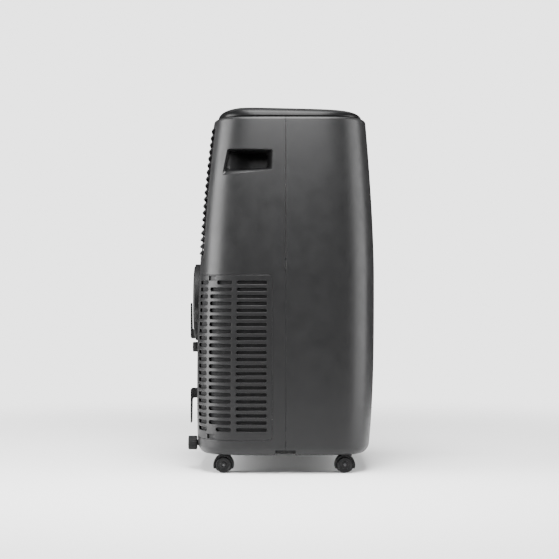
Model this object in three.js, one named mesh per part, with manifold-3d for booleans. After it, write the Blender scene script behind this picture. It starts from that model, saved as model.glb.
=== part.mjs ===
// Portable air conditioner: a standalone three.js model, millimetres, +Z up, front towards -Y.
// The origin is on the floor, at the middle of the whole machine's footprint.
// Casing features are measured from the seam plane between the front and rear housings.
import * as THREE from 'three';
import { mergeVertices } from 'three/addons/utils/BufferGeometryUtils.js';
import Module from 'manifold-3d';

const wasm = await Module();
wasm.setup();

// ---------------------------------------------------------------- driving dimensions
const gap = 0.35;                 // clearance between neighbouring pieces
const wall = 3;                   // casing wall
const seamY = -12;                // seam plane, from the machine's middle
const shell = {
  halfWidth: 217.5, halfFront: 174.5, halfRear: 174.7, exponent: 4.8,
  bottom: 36, top: 679, edgeHeight: 14, edgeInset: 8, edgeExponent: 1.6, rimHeight: 5, rimInset: 5,
};
const cap = { inset: 7.5, topZ: 700, tilt: 0.0245, round: 34, ridgeY: 88, rearFall: 0.05, wall: 3 };
const deckZ = 394;                // floor between the evaporator and condenser spaces
const caster = { x: 172, y: 116, wheelR: 15.3, wheelWidth: 12, trail: 3, hoodR: 19.75, pinR: 2.6 };
const grille = {
  front: 26, rearX: 140, bottom: 65, top: 378, pitch: 13.3, slot: 7.4, rows: 22, firstSlot: 364,
  sideSlots: [[36, 95], [104, 145]], rearSlot: [146, 184], latch: [139, 154], latchHeight: 9,
};
const louvre = { halfWidth: 168, bottom: 408, top: 672, pitch: 13.3, proud: 3 };
const handle = { front: 31, rear: 136, bottom: 580, top: 615, depth: 48 };
const notch = { half: 20, top: 46 };   // hollow at the foot of the seam, on both sides
const hook = { x: 120, armHalf: 10, footHalf: 15, footFace: 178, reach: 198.5 };
const panel = {
  halfX: 96, front: -112, rear: -50, fit: 0.4, windowHalf: 34, windowDepth: 22, buttonPitch: 32, buttonR: 8,
};
const coils = { evaporator: [-150, 150, 96, 128, 420, 640], condenser: [-165, 165, 30, 60, 66, 246] };
// How the casing draws in above and below its fullest height: [height, span, amount, exponent].
const profile = {
  front: { top: [380, 370, 23.7, 1.54], foot: [380, 280, 5.8, 3.3] },
  rear: { top: [128, 370, 13.2, 2.38], foot: [128, 100, 3, 2] },
  side: { top: [310, 370, 10, 2], foot: [310, 280, 4, 2] },
};
const exhaust = { z: 324, outerR: 77, boreR: 62, face: 183.5 };
const drain = { upper: [100, 388], middle: [0, 234], lower: [-110, 51] };   // [x, z] on the rear face
const gland = [-118, 300];
const outlet = { halfWidth: 150, front: -36, rear: 84, collar: 6 };
const vane = { count: 4, spacing: 60, axisZ: 652, below: 18, above: 17, front: -22, rear: 70, thick: 2 };
const upperFan = { y: 0, z: 520, r: 88, width: 70 };
const lowerFan = { x: -38, y: -20, z: 166, r: 74, width: 60 };

// ---------------------------------------------------------------- materials
function finish(color, roughness, metalness = 0) {
  return new THREE.MeshStandardMaterial({ color, roughness, metalness });
}
const look = {
  housing: finish(0x3d3d3f, 0.45),
  grille: finish(0x3b3b3d, 0.5),
  cover: finish(0x1b1b1d, 0.25),
  black: finish(0x18181a, 0.5),
  window: finish(0x08080a, 0.08),
  button: finish(0x2c2c2f, 0.4),
  mesh: finish(0x141416, 0.8),
  inner: finish(0xd8d8d4, 0.6),
  foam: finish(0xf0f0ec, 0.9),
  copper: finish(0xb87346, 0.35, 0.9),
  fins: finish(0xb4b8bc, 0.4, 0.9),
  steel: finish(0x34363a, 0.4, 0.6),
  wheel: finish(0x1a1a1c, 0.45),
  rubber: finish(0x121212, 0.9),
};

// ---------------------------------------------------------------- solids
function solidOf(geometry) {
  const bare = geometry.index ? geometry.toNonIndexed() : geometry.clone();
  bare.deleteAttribute('normal');
  bare.deleteAttribute('uv');
  const merged = mergeVertices(bare, 1e-4);
  return new wasm.Manifold(new wasm.Mesh({
    numProp: 3,
    vertProperties: new Float32Array(merged.attributes.position.array),
    triVerts: new Uint32Array(merged.index.array),
  }));
}

function geometryOf(solid) {
  const { vertProperties, triVerts } = solid.getMesh();
  const geometry = new THREE.BufferGeometry();
  geometry.setAttribute('position', new THREE.BufferAttribute(new Float32Array(vertProperties), 3));
  geometry.setIndex(new THREE.BufferAttribute(new Uint32Array(triVerts), 1));
  geometry.computeVertexNormals();
  return geometry;
}

const join = (...solids) => solids.reduce((whole, next) => whole.add(next));
const cut = (solid, ...tools) => tools.reduce((left, tool) => left.subtract(tool), solid);

function block(x0, x1, y0, y1, z0, z1) {
  const geometry = new THREE.BoxGeometry(x1 - x0, y1 - y0, z1 - z0);
  geometry.translate((x0 + x1) / 2, (y0 + y1) / 2, (z0 + z1) / 2);
  return solidOf(geometry);
}

// A cylinder along one axis, from one coordinate to another, centred on the other two.
function rod(axis, radius, from, to, centre, sides = 24) {
  const geometry = new THREE.CylinderGeometry(radius, radius, to - from, sides);
  const middle = (from + to) / 2;
  if (axis === 'x') {
    geometry.rotateZ(-Math.PI / 2).translate(middle, centre[0], centre[1]);
  } else if (axis === 'y') {
    geometry.translate(centre[0], middle, centre[1]);
  } else {
    geometry.rotateX(Math.PI / 2).translate(centre[0], centre[1], middle);
  }
  return solidOf(geometry);
}

const ring = (axis, outer, inner, from, to, centre, sides) =>
  rod(axis, outer, from, to, centre, sides).subtract(rod(axis, inner, from - 1, to + 1, centre, sides));

// A turned body about a vertical axis, from [radius, height] pairs.
function turned(profile, x, y, sides = 24) {
  const points = profile.map(([radius, height]) => new THREE.Vector2(radius, height));
  const geometry = new THREE.LatheGeometry(points, sides);
  geometry.rotateX(Math.PI / 2).translate(x, y, 0);
  return solidOf(geometry);
}

// An outline of [y, z] points, extruded along X.
function prismX(outline, x0, x1) {
  const shape = new THREE.Shape(outline.map(([y, z]) => new THREE.Vector2(y, z)));
  const geometry = new THREE.ExtrudeGeometry(shape, { depth: x1 - x0, bevelEnabled: false });
  geometry.applyMatrix4(new THREE.Matrix4().makeBasis(
    new THREE.Vector3(0, 1, 0), new THREE.Vector3(0, 0, 1), new THREE.Vector3(1, 0, 0)));
  geometry.translate(x0, 0, 0);
  return solidOf(geometry);
}

// A round bar bent along a smooth curve through the given points.
function pipe(points, radius, steps, sides = 8) {
  const curve = new THREE.CatmullRomCurve3(points.map((p) => new THREE.Vector3(...p)), false, 'centripetal');
  const section = new THREE.Shape();
  section.absarc(0, 0, radius, 0, Math.PI * 2);
  const geometry = new THREE.ExtrudeGeometry(section, {
    steps, extrudePath: curve, curveSegments: sides / 2, bevelEnabled: false,
  });
  return solidOf(geometry);
}

// ---------------------------------------------------------------- casing surface
const power = (base, exponent) => Math.pow(Math.max(base, 0), exponent);

function drawIn(z, { top, foot }) {
  const above = top[2] * power((z - top[0]) / top[1], top[3]);
  const below = foot[2] * power((foot[0] - z) / foot[1], foot[3]);
  return above + below;
}

const halfFront = (z) => shell.halfFront - drawIn(z, profile.front);
const halfRear = (z) => shell.halfRear - drawIn(z, profile.rear);
const halfWidth = (z) => shell.halfWidth - drawIn(z, profile.side);

// How far the rounded lower edge and upper rim draw in from the casing's own surface.
function edgeInset(z) {
  const low = Math.min(Math.max((shell.bottom + shell.edgeHeight - z) / shell.edgeHeight, 0), 1);
  const high = Math.min(Math.max((z - shell.top + shell.rimHeight) / shell.rimHeight, 0), 1);
  const e = shell.edgeExponent;
  return shell.edgeInset * (1 - power(1 - low ** e, 1 / e)) + shell.rimInset * (1 - Math.sqrt(1 - high ** 2));
}

// A point of the plan outline: angle 0 is +X and a quarter turn is +Y (rear).
function outlinePoint(angle, z, inset) {
  const c = Math.cos(angle);
  const s = Math.sin(angle);
  const depth = s > 0 ? halfRear(z) : halfFront(z);
  const bend = 2 / shell.exponent;
  return [
    Math.sign(c) * (halfWidth(z) - inset) * Math.abs(c) ** bend,
    Math.sign(s) * (depth - inset) * Math.abs(s) ** bend,
  ];
}

const shellLevels = [36, 41, 50, 128, 250, 380, 480, 580, 674, 679];
const shellSides = 24;

// A closed solid of the casing's shape, drawn in by an inset, with level heights from z0 to z1.
// heightOf(x, y, z) may lift or tilt each point; insetOf(z) adds to the inset level by level.
function loft(levels, inset, { insetOf = edgeInset, heightOf = (x, y, z) => z, sides = shellSides } = {}) {
  const rows = levels.length - 1;
  const geometry = new THREE.CylinderGeometry(1, 1, 1, sides, rows);
  const position = geometry.attributes.position;
  for (let i = 0; i < position.count; i += 1) {
    const level = levels[Math.round((position.getY(i) + 0.5) * rows)];
    const onAxis = Math.hypot(position.getX(i), position.getZ(i)) < 0.5;
    const angle = Math.atan2(position.getX(i), position.getZ(i));
    const [x, y] = onAxis ? [0, 0] : outlinePoint(angle, level, inset + insetOf(level));
    position.setXYZ(i, x, y, heightOf(x, y, level));
  }
  return solidOf(geometry);
}

const clipLevels = (z0, z1) => [z0, ...shellLevels.filter((z) => z > z0 + 1 && z < z1 - 1), z1];

const outerBody = loft(shellLevels, 0);
const heldInset = (z) => edgeInset(Math.min(Math.max(z, shell.bottom), shell.top));
const innerBody = loft([shell.bottom - 5, ...shellLevels, shell.top + 5], wall, { insetOf: heldInset });
const fullSkin = outerBody.subtract(innerBody);

// The skin between two insets, over a height range: used for panels and filters that follow the casing.
function curvedSheet(insetOut, insetIn, z0, z1) {
  const plain = { insetOf: () => 0 };
  const outside = loft(clipLevels(z0, z1), insetOut, plain);
  const inside = loft([z0 - 5, ...clipLevels(z0, z1).slice(1, -1), z1 + 5], insetIn, plain);
  return outside.subtract(inside);
}

// ---------------------------------------------------------------- casing cut-outs
// The region of one side grille: it wraps the rear corner on side +1 (+X) or -1 (-X).
function grilleRegion(side, grow) {
  const alongSide = block(100, 240, grille.front - grow, 200, grille.bottom - grow, grille.top + grow);
  const acrossRear = block(grille.rearX - grow, 240, 100, 200, grille.bottom - grow, grille.top + grow);
  const region = alongSide.intersect(join(block(190, 240, 0, 200, 0, 700), acrossRear));
  return side > 0 ? region : region.mirror([1, 0, 0]);
}

function louvreRegion(grow) {
  return block(-louvre.halfWidth - grow, louvre.halfWidth + grow, 60, 220,
    louvre.bottom - grow, louvre.top + grow);
}

function handleOutline(grow) {
  return [
    [handle.front - grow, handle.bottom - grow], [handle.rear + grow, handle.bottom - 6 - grow],
    [handle.rear - 5 + grow, handle.top + 2 + grow], [handle.front - grow, handle.top + grow],
  ];
}

// ---------------------------------------------------------------- the pieces
const machine = new THREE.Group();
machine.position.y = seamY;

function add(name, solid, material, parent = machine) {
  const piece = new THREE.Mesh(geometryOf(solid), material);
  piece.name = name;
  parent.add(piece);
  return piece;
}

function housings() {
  const foot = block(-240, 240, -notch.half, notch.half, 20, notch.top);
  const ports = join(
    rod('y', 8, 100, 220, drain.upper, 12), rod('y', 7, 100, 220, drain.middle, 12),
    rod('y', 8, 100, 220, drain.lower, 12), rod('y', 9.5, 100, 220, gland, 12));
  const handles = prismX(handleOutline(0), 150, 240);
  const cuts = join(foot, ports, handles, handles.mirror([1, 0, 0]), louvreRegion(gap),
    grilleRegion(1, gap), grilleRegion(-1, gap), rod('y', exhaust.boreR + 4, 100, 220, [0, exhaust.z], 32));
  const skin = fullSkin.subtract(cuts);
  add('front_housing', skin.intersect(block(-300, 300, -300, -gap / 2, 0, 800)), look.housing);
  add('rear_housing', skin.intersect(block(-300, 300, gap / 2, 300, 0, 800)), look.housing);
}

function basePan() {
  const z0 = 39;
  const plain = { insetOf: () => 0 };
  const tray = loft([z0, 62], wall + 6, plain).subtract(loft([z0 + 4, 70], wall + 9, plain));
  const stems = [];
  for (const sx of [-1, 1]) {
    for (const sy of [-1, 1]) {
      stems.push(rod('z', 5.6, 0, 100, [sx * caster.x, sy * caster.y], 10));
    }
  }
  add('base_pan', cut(tray, rod('y', 7.5, 100, 220, drain.lower, 12), ...stems), look.black);
}

// The cap's top plane falls gently to the front of the ridge, and more gently behind it.
function capHeight(y) {
  return y < cap.ridgeY ? cap.topZ - (cap.ridgeY - y) * cap.tilt : cap.topZ - (y - cap.ridgeY) * cap.rearFall;
}

function capSolid(inset, drop, bottom) {
  const steps = [0, 0.4, 0.7, 0.9, 1];
  const lift = (x, y, t) => bottom + (capHeight(y) - drop - bottom) * (t - shell.top);
  const levels = steps.map((t) => shell.top + t);
  const roundIn = (z) => cap.round * (1 - Math.sqrt(1 - Math.min(z - shell.top, 1) ** 2.6)) * 0.9;
  return loft(levels, inset, { insetOf: roundIn, heightOf: lift });
}

function topCover() {
  const hollow = capSolid(cap.inset + cap.wall, cap.wall, shell.top - 3);
  const sheet = capSolid(cap.inset, 0, shell.top + gap).subtract(hollow);
  const z = cap.topZ;
  const half = outlet.halfWidth;
  const mouth = block(-half - 0.6, half + 0.6, outlet.front - 0.6, outlet.rear + 4.2, 640, 720);
  const collar = block(-half - outlet.collar - 1, half + outlet.collar + 1,
    outlet.front - outlet.collar, outlet.rear + outlet.collar + 3, shell.top, z - 5);
  const pinHoles = rod('x', 2.7, -155.5, 155.5, [outlet.rear, z - 4], 12);
  const seatHalf = panel.halfX + panel.fit;
  const panelSeat = block(-seatHalf, seatHalf, panel.front - panel.fit, panel.rear + panel.fit, 660, 720);
  const bodyCover = cut(join(sheet, collar), mouth, pinHoles, panelSeat);
  add('top_cover', bodyCover, look.cover);
}

function outletFlap(topPlane) {
  const r = 3.6;
  const points = [[-outlet.rear + outlet.front, 0.2], [-4, 0.2]];
  for (let i = 0; i <= 6; i += 1) {
    const a = Math.PI / 2 - (i / 6) * Math.PI;
    points.push([r * Math.cos(a), -4 + r * Math.sin(a) + (i === 0 ? 0.2 : 0)]);
  }
  points.push([-4, -5.6], [-outlet.rear + outlet.front + 6, -3.8], [-outlet.rear + outlet.front, -2.4]);
  const leaf = prismX(points, -outlet.halfWidth, outlet.halfWidth);
  const pins = rod('x', 2.1, -outlet.halfWidth - 4.6, outlet.halfWidth + 4.6, [0, -4], 12);
  add('outlet_flap', leaf.add(pins), look.cover, topPlane);
}

function controlPanel(topPlane) {
  const y0 = panel.front - outlet.rear;
  const y1 = panel.rear - outlet.rear;
  const buttonY = y0 + 20;
  const windowY = [y1 - 8 - panel.windowDepth, y1 - 8];
  const windowHole = panel.windowHalf + panel.fit;
  const plate = block(-panel.halfX, panel.halfX, y0, y1, -5, 0.6);
  const seat = block(-panel.halfX - 5, panel.halfX + 5, y0 + 5, y1 - 5, -12, -4);
  const windowSeat = block(-windowHole, windowHole, windowY[0] - panel.fit, windowY[1] + panel.fit, -3, 5);
  const wells = [];
  const buttonXs = [-2, -1, 0, 1, 2].map((i) => i * panel.buttonPitch);
  for (const x of buttonXs) {
    wells.push(rod('z', panel.buttonR + 0.5, -2.9, 5, [x, buttonY], 12));
    wells.push(rod('z', 3.5, -20, 5, [x, buttonY], 6));
  }
  add('control_panel', cut(join(plate, seat), windowSeat, ...wells), look.black, topPlane);
  const window = block(-panel.windowHalf, panel.windowHalf, windowY[0], windowY[1], -2.6, 0.9);
  add('display_window', window, look.window, topPlane);
  const names = ['power_button', 'mode_button', 'fan_button', 'timer_button', 'swing_button'];
  names.forEach((name, i) => {
    const keyTop = rod('z', panel.buttonR, -1.6, 1.4, [buttonXs[i], buttonY], 12);
    const stem = rod('z', 3, -14, 0, [buttonXs[i], buttonY], 6);
    add(name, join(keyTop, stem), look.button, topPlane);
  });
}

function handleCups() {
  const reach = halfWidth(600);
  const floor = reach - handle.depth;
  const fit = loft([560, 580, 640], wall + gap, { insetOf: () => 0 });
  const outside = prismX(handleOutline(3.5), floor - 2.5, 240);
  const pocket = prismX(handleOutline(0.6), floor, 240);
  const lip = prismX(handleOutline(9), reach - 16, 240);
  const cup = cut(join(outside, lip), pocket).intersect(fit);
  add('handle_cup_right', cup, look.black);
  add('handle_cup_left', cup.mirror([1, 0, 0]), look.black);
}

// Slots of one row: on the side, beside the corner rib, and round on the rear face.
function grillePanel() {
  const skin = fullSkin.intersect(grilleRegion(1, 0));
  const slots = [];
  for (let row = 0; row < grille.rows; row += 1) {
    const z = grille.firstSlot - row * grille.pitch;
    const low = z - grille.slot / 2;
    const high = z + grille.slot / 2;
    for (const [front, rear] of grille.sideSlots) {
      slots.push(block(185, 240, front, rear, low, high));
    }
    slots.push(block(grille.rearSlot[0], grille.rearSlot[1], 150, 200, low, high));
  }
  const latches = [grille.top - grille.latchHeight - 1, grille.bottom + 1].map((z) =>
    block(190, 240, grille.latch[0], grille.latch[1], z, z + grille.latchHeight));
  return cut(skin, ...slots, ...latches);
}

function sideGrilles() {
  const right = grillePanel();
  add('side_grille_right', right, look.grille);
  add('side_grille_left', right.mirror([1, 0, 0]), look.grille);
  const sheet = curvedSheet(wall + 1.5, wall + 3, grille.bottom + 4, grille.top - 4);
  const mesh = sheet.intersect(block(100, 240, grille.front + 5, 240, 0, 700))
    .intersect(join(block(190, 240, 0, 200, 0, 700), block(grille.rearX + 6, 240, 100, 200, 0, 700)));
  add('side_filter_right', mesh, look.mesh);
  add('side_filter_left', mesh.mirror([1, 0, 0]), look.mesh);
}

// The upper rear louvre panel: a skin with a saw-tooth row of blades and an open gap under each.
function upperFilter() {
  const skin = fullSkin.intersect(louvreRegion(0)).intersect(block(-300, 300, 100, 300, 0, 800));
  const slots = [];
  const blades = [];
  const rows = Math.floor((louvre.top - louvre.bottom - 14) / louvre.pitch);
  for (let row = 0; row < rows; row += 1) {
    const z = louvre.bottom + 12 + row * louvre.pitch;
    slots.push(block(-119, -3, 100, 220, z - 2.8, z + 3.2), block(3, 119, 100, 220, z - 2.8, z + 3.2));
    const y = halfRear(z + 6);
    blades.push(prismX([[y - 2.4, z + 3.8], [y + louvre.proud, z + 3.8], [y - 2.4, z + 9]], -119, 119));
  }
  add('upper_filter_grille', join(cut(skin, ...slots), ...blades), look.grille);
  const sheet = curvedSheet(wall + 1.5, wall + 3, louvre.bottom + 5, louvre.top - 5);
  add('upper_filter_mesh', sheet.intersect(block(-160, 160, 100, 220, 0, 800)), look.mesh);
}

function exhaustFlange() {
  const blank = ring('y', exhaust.outerR, exhaust.boreR, 150, exhaust.face, [0, exhaust.z], 28);
  const grown = loft(clipLevels(200, 450), -gap, { insetOf: () => 0 });
  const passage = rod('y', exhaust.boreR + 3.4, 100, 250, [0, exhaust.z], 32);
  const step = ring('y', exhaust.outerR + 1, exhaust.outerR - 4, exhaust.face - 2.5, 200, [0, exhaust.z], 28);
  const collar = cut(blank, grown.subtract(passage), step);
  add('exhaust_flange', collar, look.black);
}

// A cord hook: a foot on the casing, a neck standing out of it and an arm along the casing.
function cordHook(name, footZ, neckZ, tipZ) {
  const { x, reach } = hook;
  const up = tipZ > neckZ[0] ? 1 : -1;
  const foot = block(x - hook.footHalf, x + hook.footHalf, 150, hook.footFace, footZ[0], footZ[1]);
  const neck = block(x - hook.armHalf, x + hook.armHalf, 150, reach - 2, neckZ[0], neckZ[1]);
  const armRoot = up > 0 ? neckZ[0] : neckZ[1];
  const arm = prismX([
    [reach - 5, armRoot + up * 2], [reach - 2, armRoot], [reach, armRoot + up * 6],
    [reach, tipZ - up], [reach - 1, tipZ], [reach - 3, tipZ], [reach - 4.2, armRoot + up * 22],
  ], x - hook.armHalf, x + hook.armHalf);
  const grown = loft(clipLevels(50, 350), -gap, { insetOf: () => 0 });
  add(name, join(foot, neck, arm).subtract(grown), look.black);
}

// The rear face of the casing at one point, seen from behind.
function rearFace(x, z) {
  const n = shell.exponent;
  return halfRear(z) * (1 - (Math.abs(x) / halfWidth(z)) ** n) ** (1 / n);
}

// A round fluted knob on the rear face, with a plug in its port. Its seat clears the face all round.
function knob(name, { x, z, radius, face, length, plugR, material = look.black }) {
  const inner = Math.max(Math.abs(x) - radius, 0);
  const seat = Math.max(rearFace(inner, z - radius), rearFace(inner, z + radius)) + gap;
  const flutes = 10;
  let head = rod('y', radius, seat, face, [x, z], 20);
  for (let i = 0; i < flutes; i += 1) {
    const a = (i / flutes) * Math.PI * 2;
    const flute = [x + (radius + 0.6) * Math.cos(a), z + (radius + 0.6) * Math.sin(a)];
    head = head.subtract(rod('y', 1.6, seat - 1, face - 3, flute, 4));
  }
  const plug = rod('y', plugR, face - length, face - 2, [x, z], 12);
  add(name, join(head, plug), material);
}

function rearFittings() {
  cordHook('upper_cord_hook', [245, 305], [247, 264], 322);
  cordHook('lower_cord_hook', [107, 151], [123, 143], 70);
  knob('upper_drain_cap', {
    x: drain.upper[0], z: drain.upper[1], radius: 14.5, face: 187.5, length: 30, plugR: 7,
  });
  knob('middle_drain_plug', {
    x: drain.middle[0], z: drain.middle[1], radius: 10, face: 187.5, length: 28, plugR: 6,
    material: look.rubber,
  });
  knob('lower_drain_cap', {
    x: drain.lower[0], z: drain.lower[1], radius: 13.5, face: 190, length: 38, plugR: 7,
  });
  const grown = loft(clipLevels(200, 450), -gap, { insetOf: () => 0 });
  const bezel = rod('y', 12.5, 150, 176.5, gland, 16).subtract(grown);
  const sleeve = rod('y', 8.6, 160, 176.5, gland, 12);
  const bore = rod('y', 4.2, 150, 190, gland, 10);
  add('cord_gland', join(bezel, sleeve).subtract(bore), look.rubber);
}

// ---------------------------------------------------------------- running gear
// A wheel's disc, turned so that one flat facet lies on the floor.
function wheelBlank(x0, x1, [y, z]) {
  const sides = 18;
  const radius = caster.wheelR / Math.cos(Math.PI / sides);
  const geometry = new THREE.CylinderGeometry(radius, radius, x1 - x0, sides);
  geometry.rotateZ(-Math.PI / 2).rotateX(Math.PI / sides).translate((x0 + x1) / 2, y, z);
  return solidOf(geometry);
}

function casters() {
  const fit = 0.4;
  for (const sx of [-1, 1]) {
    for (const sy of [-1, 1]) {
      const name = `${sy < 0 ? 'front' : 'rear'}_${sx < 0 ? 'left' : 'right'}`;
      const stem = new THREE.Group();
      stem.position.set(sx * caster.x, sy * caster.y, 0);
      machine.add(stem);
      const axle = [caster.trail, caster.wheelR];
      const half = caster.wheelWidth + 2 + fit;
      const hood = ring('x', caster.hoodR, caster.wheelR + 1.2, -half, half, axle, 18)
        .subtract(block(-30, 30, -40, 40, -10, 8.6));
      const web = rod('x', caster.wheelR + 2, -2, 2, axle, 18).subtract(block(-30, 30, -40, 40, -10, 3));
      const pin = rod('x', caster.pinR, -half + 1.5, half - 1.5, axle, 10);
      const neck = rod('z', 11, 31, 38.4, [0, 0], 12);
      const post = rod('z', 5, 36, 49, [0, 0], 10);
      add(`caster_${name}`, join(hood, web, pin, neck, post), look.black, stem);
      for (const side of [-1, 1]) {
        const from = side > 0 ? 2 + fit : -half + fit;
        const tread = wheelBlank(from, from + caster.wheelWidth - fit, axle);
        const bore = rod('x', caster.pinR + fit, from - 1, from + caster.wheelWidth + 1, axle, 10);
        add(`wheel_${name}_${side < 0 ? 'a' : 'b'}`, tread.subtract(bore), look.wheel, stem);
      }
    }
  }
}

// ---------------------------------------------------------------- inside the casing
function deck() {
  const plain = { insetOf: () => 0 };
  const outside = loft([deckZ, deckZ + 12], wall + 2, plain);
  const tray = outside.subtract(loft([deckZ + 3, deckZ + 30], wall + 5, plain));
  const pipeHole = rod('z', 9, 300, 500, [150, 60], 12);
  const rearGap = block(-240, 240, 154, 200, 380, 440);
  add('partition_deck', cut(tray, pipeHole, rearGap), look.foam);
}

function coil(name, [x0, x1, y0, y1, z0, z1]) {
  const core = block(x0, x1, y0, y1, z0, z1);
  const bends = [];
  const rows = 5;
  for (let row = 0; row < rows; row += 1) {
    const z = z0 + ((row + 0.5) / rows) * (z1 - z0);
    for (const side of [x0, x1]) {
      bends.push(rod('y', 9, (y0 + y1) / 2 - 4, (y0 + y1) / 2 + 4, [side, z], 10));
    }
  }
  add(name, join(core, ...bends), look.fins);
}

// A drum fan wheel about the Y axis: a back plate with a hub, blades and a front ring.
function fanWheel(name, fan) {
  const y0 = fan.y - fan.width / 2;
  const y1 = fan.y + fan.width / 2;
  const centre = [fan.x ?? 0, fan.z];
  const plate = rod('y', fan.r, y0, y0 + 3, centre, 20);
  const hub = rod('y', 16, y0, y0 + 26, centre, 12);
  const rim = ring('y', fan.r, fan.r - 8, y1 - 4, y1, centre, 20);
  const blades = [];
  for (let i = 0; i < 12; i += 1) {
    const blade = new THREE.BoxGeometry(2, fan.width - 3, 12);
    blade.rotateY(0.5).translate(0, fan.y, fan.r - 8).rotateY((i / 12) * Math.PI * 2);
    blade.translate(centre[0], 0, centre[1]);
    blades.push(solidOf(blade));
  }
  const shaftHole = rod('y', 4.6, y0 - 1, y0 + 40, centre, 10);
  add(name, cut(join(plate, hub, rim, ...blades), shaftHole), look.black);
}

function motor(name, fan) {
  const y0 = fan.y - fan.width / 2;
  const centre = [fan.x ?? 0, fan.z];
  const can = rod('y', 38, y0 - 55, y0 - 12, centre, 24);
  const nose = rod('y', 14, y0 - 12, y0 - 9, centre, 16);
  const shaft = rod('y', 4, y0 - 10, y0 + 22, centre, 10);
  const ears = block(centre[0] - 48, centre[0] + 48, y0 - 20, y0 - 16, fan.z - 8, fan.z + 8);
  add(name, join(can, nose, shaft, ears), look.steel);
}

function upperScroll() {
  const centre = [0, upperFan.z];
  const y0 = upperFan.y - upperFan.width / 2 - 6;
  const y1 = upperFan.y + upperFan.width / 2 + 6;
  const t = 3;
  const ductX = outlet.halfWidth - 4;
  const ductY = [vane.front - 10, vane.rear + 8];
  const drum = rod('y', upperFan.r + 18, y0, y1, centre, 24);
  const room = rod('y', upperFan.r + 18 - t, y0 + t, y1 - t, centre, 24);
  const duct = block(-ductX, ductX, ductY[0], ductY[1], 590, 674);
  const way = block(-ductX + t, ductX - t, ductY[0] + t, ductY[1] - t, 590 + t, 680);
  const inlet = rod('y', upperFan.r - 12, y1 - 10, y1 + 10, centre, 20);
  const shaftHole = rod('y', 16, y0 - 5, y0 + 8, centre, 16);
  const pivots = vaneXs().map((x) => rod('y', 2.4, -100, 150, [x, vane.axisZ], 8));
  add('upper_fan_scroll', cut(join(drum, duct), room, way, inlet, shaftHole, ...pivots), look.foam);
}

function vaneXs() {
  return Array.from({ length: vane.count }, (_, i) => (i - (vane.count - 1) / 2) * vane.spacing);
}

function vanes() {
  const pinR = 1.6;
  const linkZ = vane.axisZ - 13;
  const frontWall = vane.front - 10;
  vaneXs().forEach((x, i) => {
    const half = vane.thick / 2;
    const [leafLow, leafHigh] = [vane.axisZ - vane.below, vane.axisZ + vane.above];
    const leaf = block(x - half, x + half, vane.front, vane.rear, leafLow, leafHigh);
    const frontPin = rod('y', pinR, frontWall + 0.5, vane.front + 3, [x, vane.axisZ], 8);
    const rearPin = rod('y', pinR, vane.rear - 3, vane.rear + 7.5, [x, vane.axisZ], 8);
    const crank = rod('y', pinR, vane.front - 6, vane.front + 3, [x, linkZ], 8);
    add(`vane_${i + 1}`, join(leaf, frontPin, rearPin, crank), look.black);
  });
  const half = ((vane.count - 1) / 2) * vane.spacing + 6;
  const bar = block(-half, half, vane.front - 5, vane.front - 2, linkZ - 4.5, linkZ + 4.5);
  const holes = vaneXs().map((x) => rod('y', pinR + 0.8, -100, 100, [x, linkZ], 8));
  add('vane_link', cut(bar, ...holes), look.black);
}

function lowerScroll() {
  const centre = [lowerFan.x, lowerFan.z];
  const y0 = lowerFan.y - lowerFan.width / 2 - 6;
  const y1 = lowerFan.y + lowerFan.width / 2 + 6;
  const t = 3;
  const drum = rod('y', lowerFan.r + 16, y0, y1, centre, 24);
  const room = rod('y', lowerFan.r + 16 - t, y0 + t, y1 - t, centre, 24);
  const side = lowerFan.x + lowerFan.r + 16;
  const riser = block(side - 70, side, y0, y1, lowerFan.z, 300);
  const riserWay = block(side - 70 + t, side - t, y0 + t, y1 - t, lowerFan.z, 290);
  const duct = block(-70, 70, y0, 149, 262, 386);
  const ductWay = block(-70 + t, 70 - t, y0 + t, 170, 262 + t, 386 - t);
  const inlet = rod('y', lowerFan.r - 12, y1 - 10, y1 + 10, centre, 20);
  const shaftHole = rod('y', 16, y0 - 5, y0 + 8, centre, 16);
  const walls = join(drum, riser, duct);
  add('lower_fan_scroll', cut(walls, room, riserWay, ductWay, inlet, shaftHole), look.inner);
}

function compressor() {
  const x = 128;
  const y = -85;
  const can = turned([
    [0, 66], [40, 66], [54, 74], [56, 90], [56, 222], [50, 240], [30, 252], [0, 256],
  ], x, y, 24);
  const feet = rod('z', 66, 62, 66.5, [x, y], 6);
  const bottle = turned([[0, 100], [16, 104], [22, 118], [22, 196], [14, 214], [0, 218]], x - 20, y + 84, 16);
  const strap = block(x - 24, x - 12, y + 40, y + 70, 150, 162);
  const elbow = block(x - 25, x - 15, y + 40, y + 70, 108, 116);
  add('compressor', join(can, feet, bottle, strap, elbow), look.steel);
}

function refrigerantPipes() {
  add('discharge_pipe', pipe([
    [128, -85, 257], [128, -85, 300], [128, -40, 330], [140, 20, 320], [156, 45, 290], [156, 45, 246.5],
  ], 4, 22), look.copper);
  add('suction_pipe', pipe([
    [108, -1, 219], [108, -1, 260], [120, 20, 330], [150, 60, 380], [150, 60, 440], [163, 96, 470],
  ], 5, 22), look.copper);
}

function electrics() {
  const tray = block(-120, 120, -150, -104, 440, 600).subtract(block(-117, 117, -160, -107, 443, 597));
  const relays = [-80, -30, 40].map((x) => block(x, x + 30, -120, -106, 470, 510));
  add('electrics_box', join(tray, ...relays), look.inner);
  const motorCan = rod('x', 11, 159, 176, [outlet.rear, cap.topZ - 22], 16);
  const ears = block(159, 161, outlet.rear - 18, outlet.rear + 18, cap.topZ - 26, cap.topZ - 18);
  add('flap_motor', join(motorCan, ears), look.steel);
}

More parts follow.
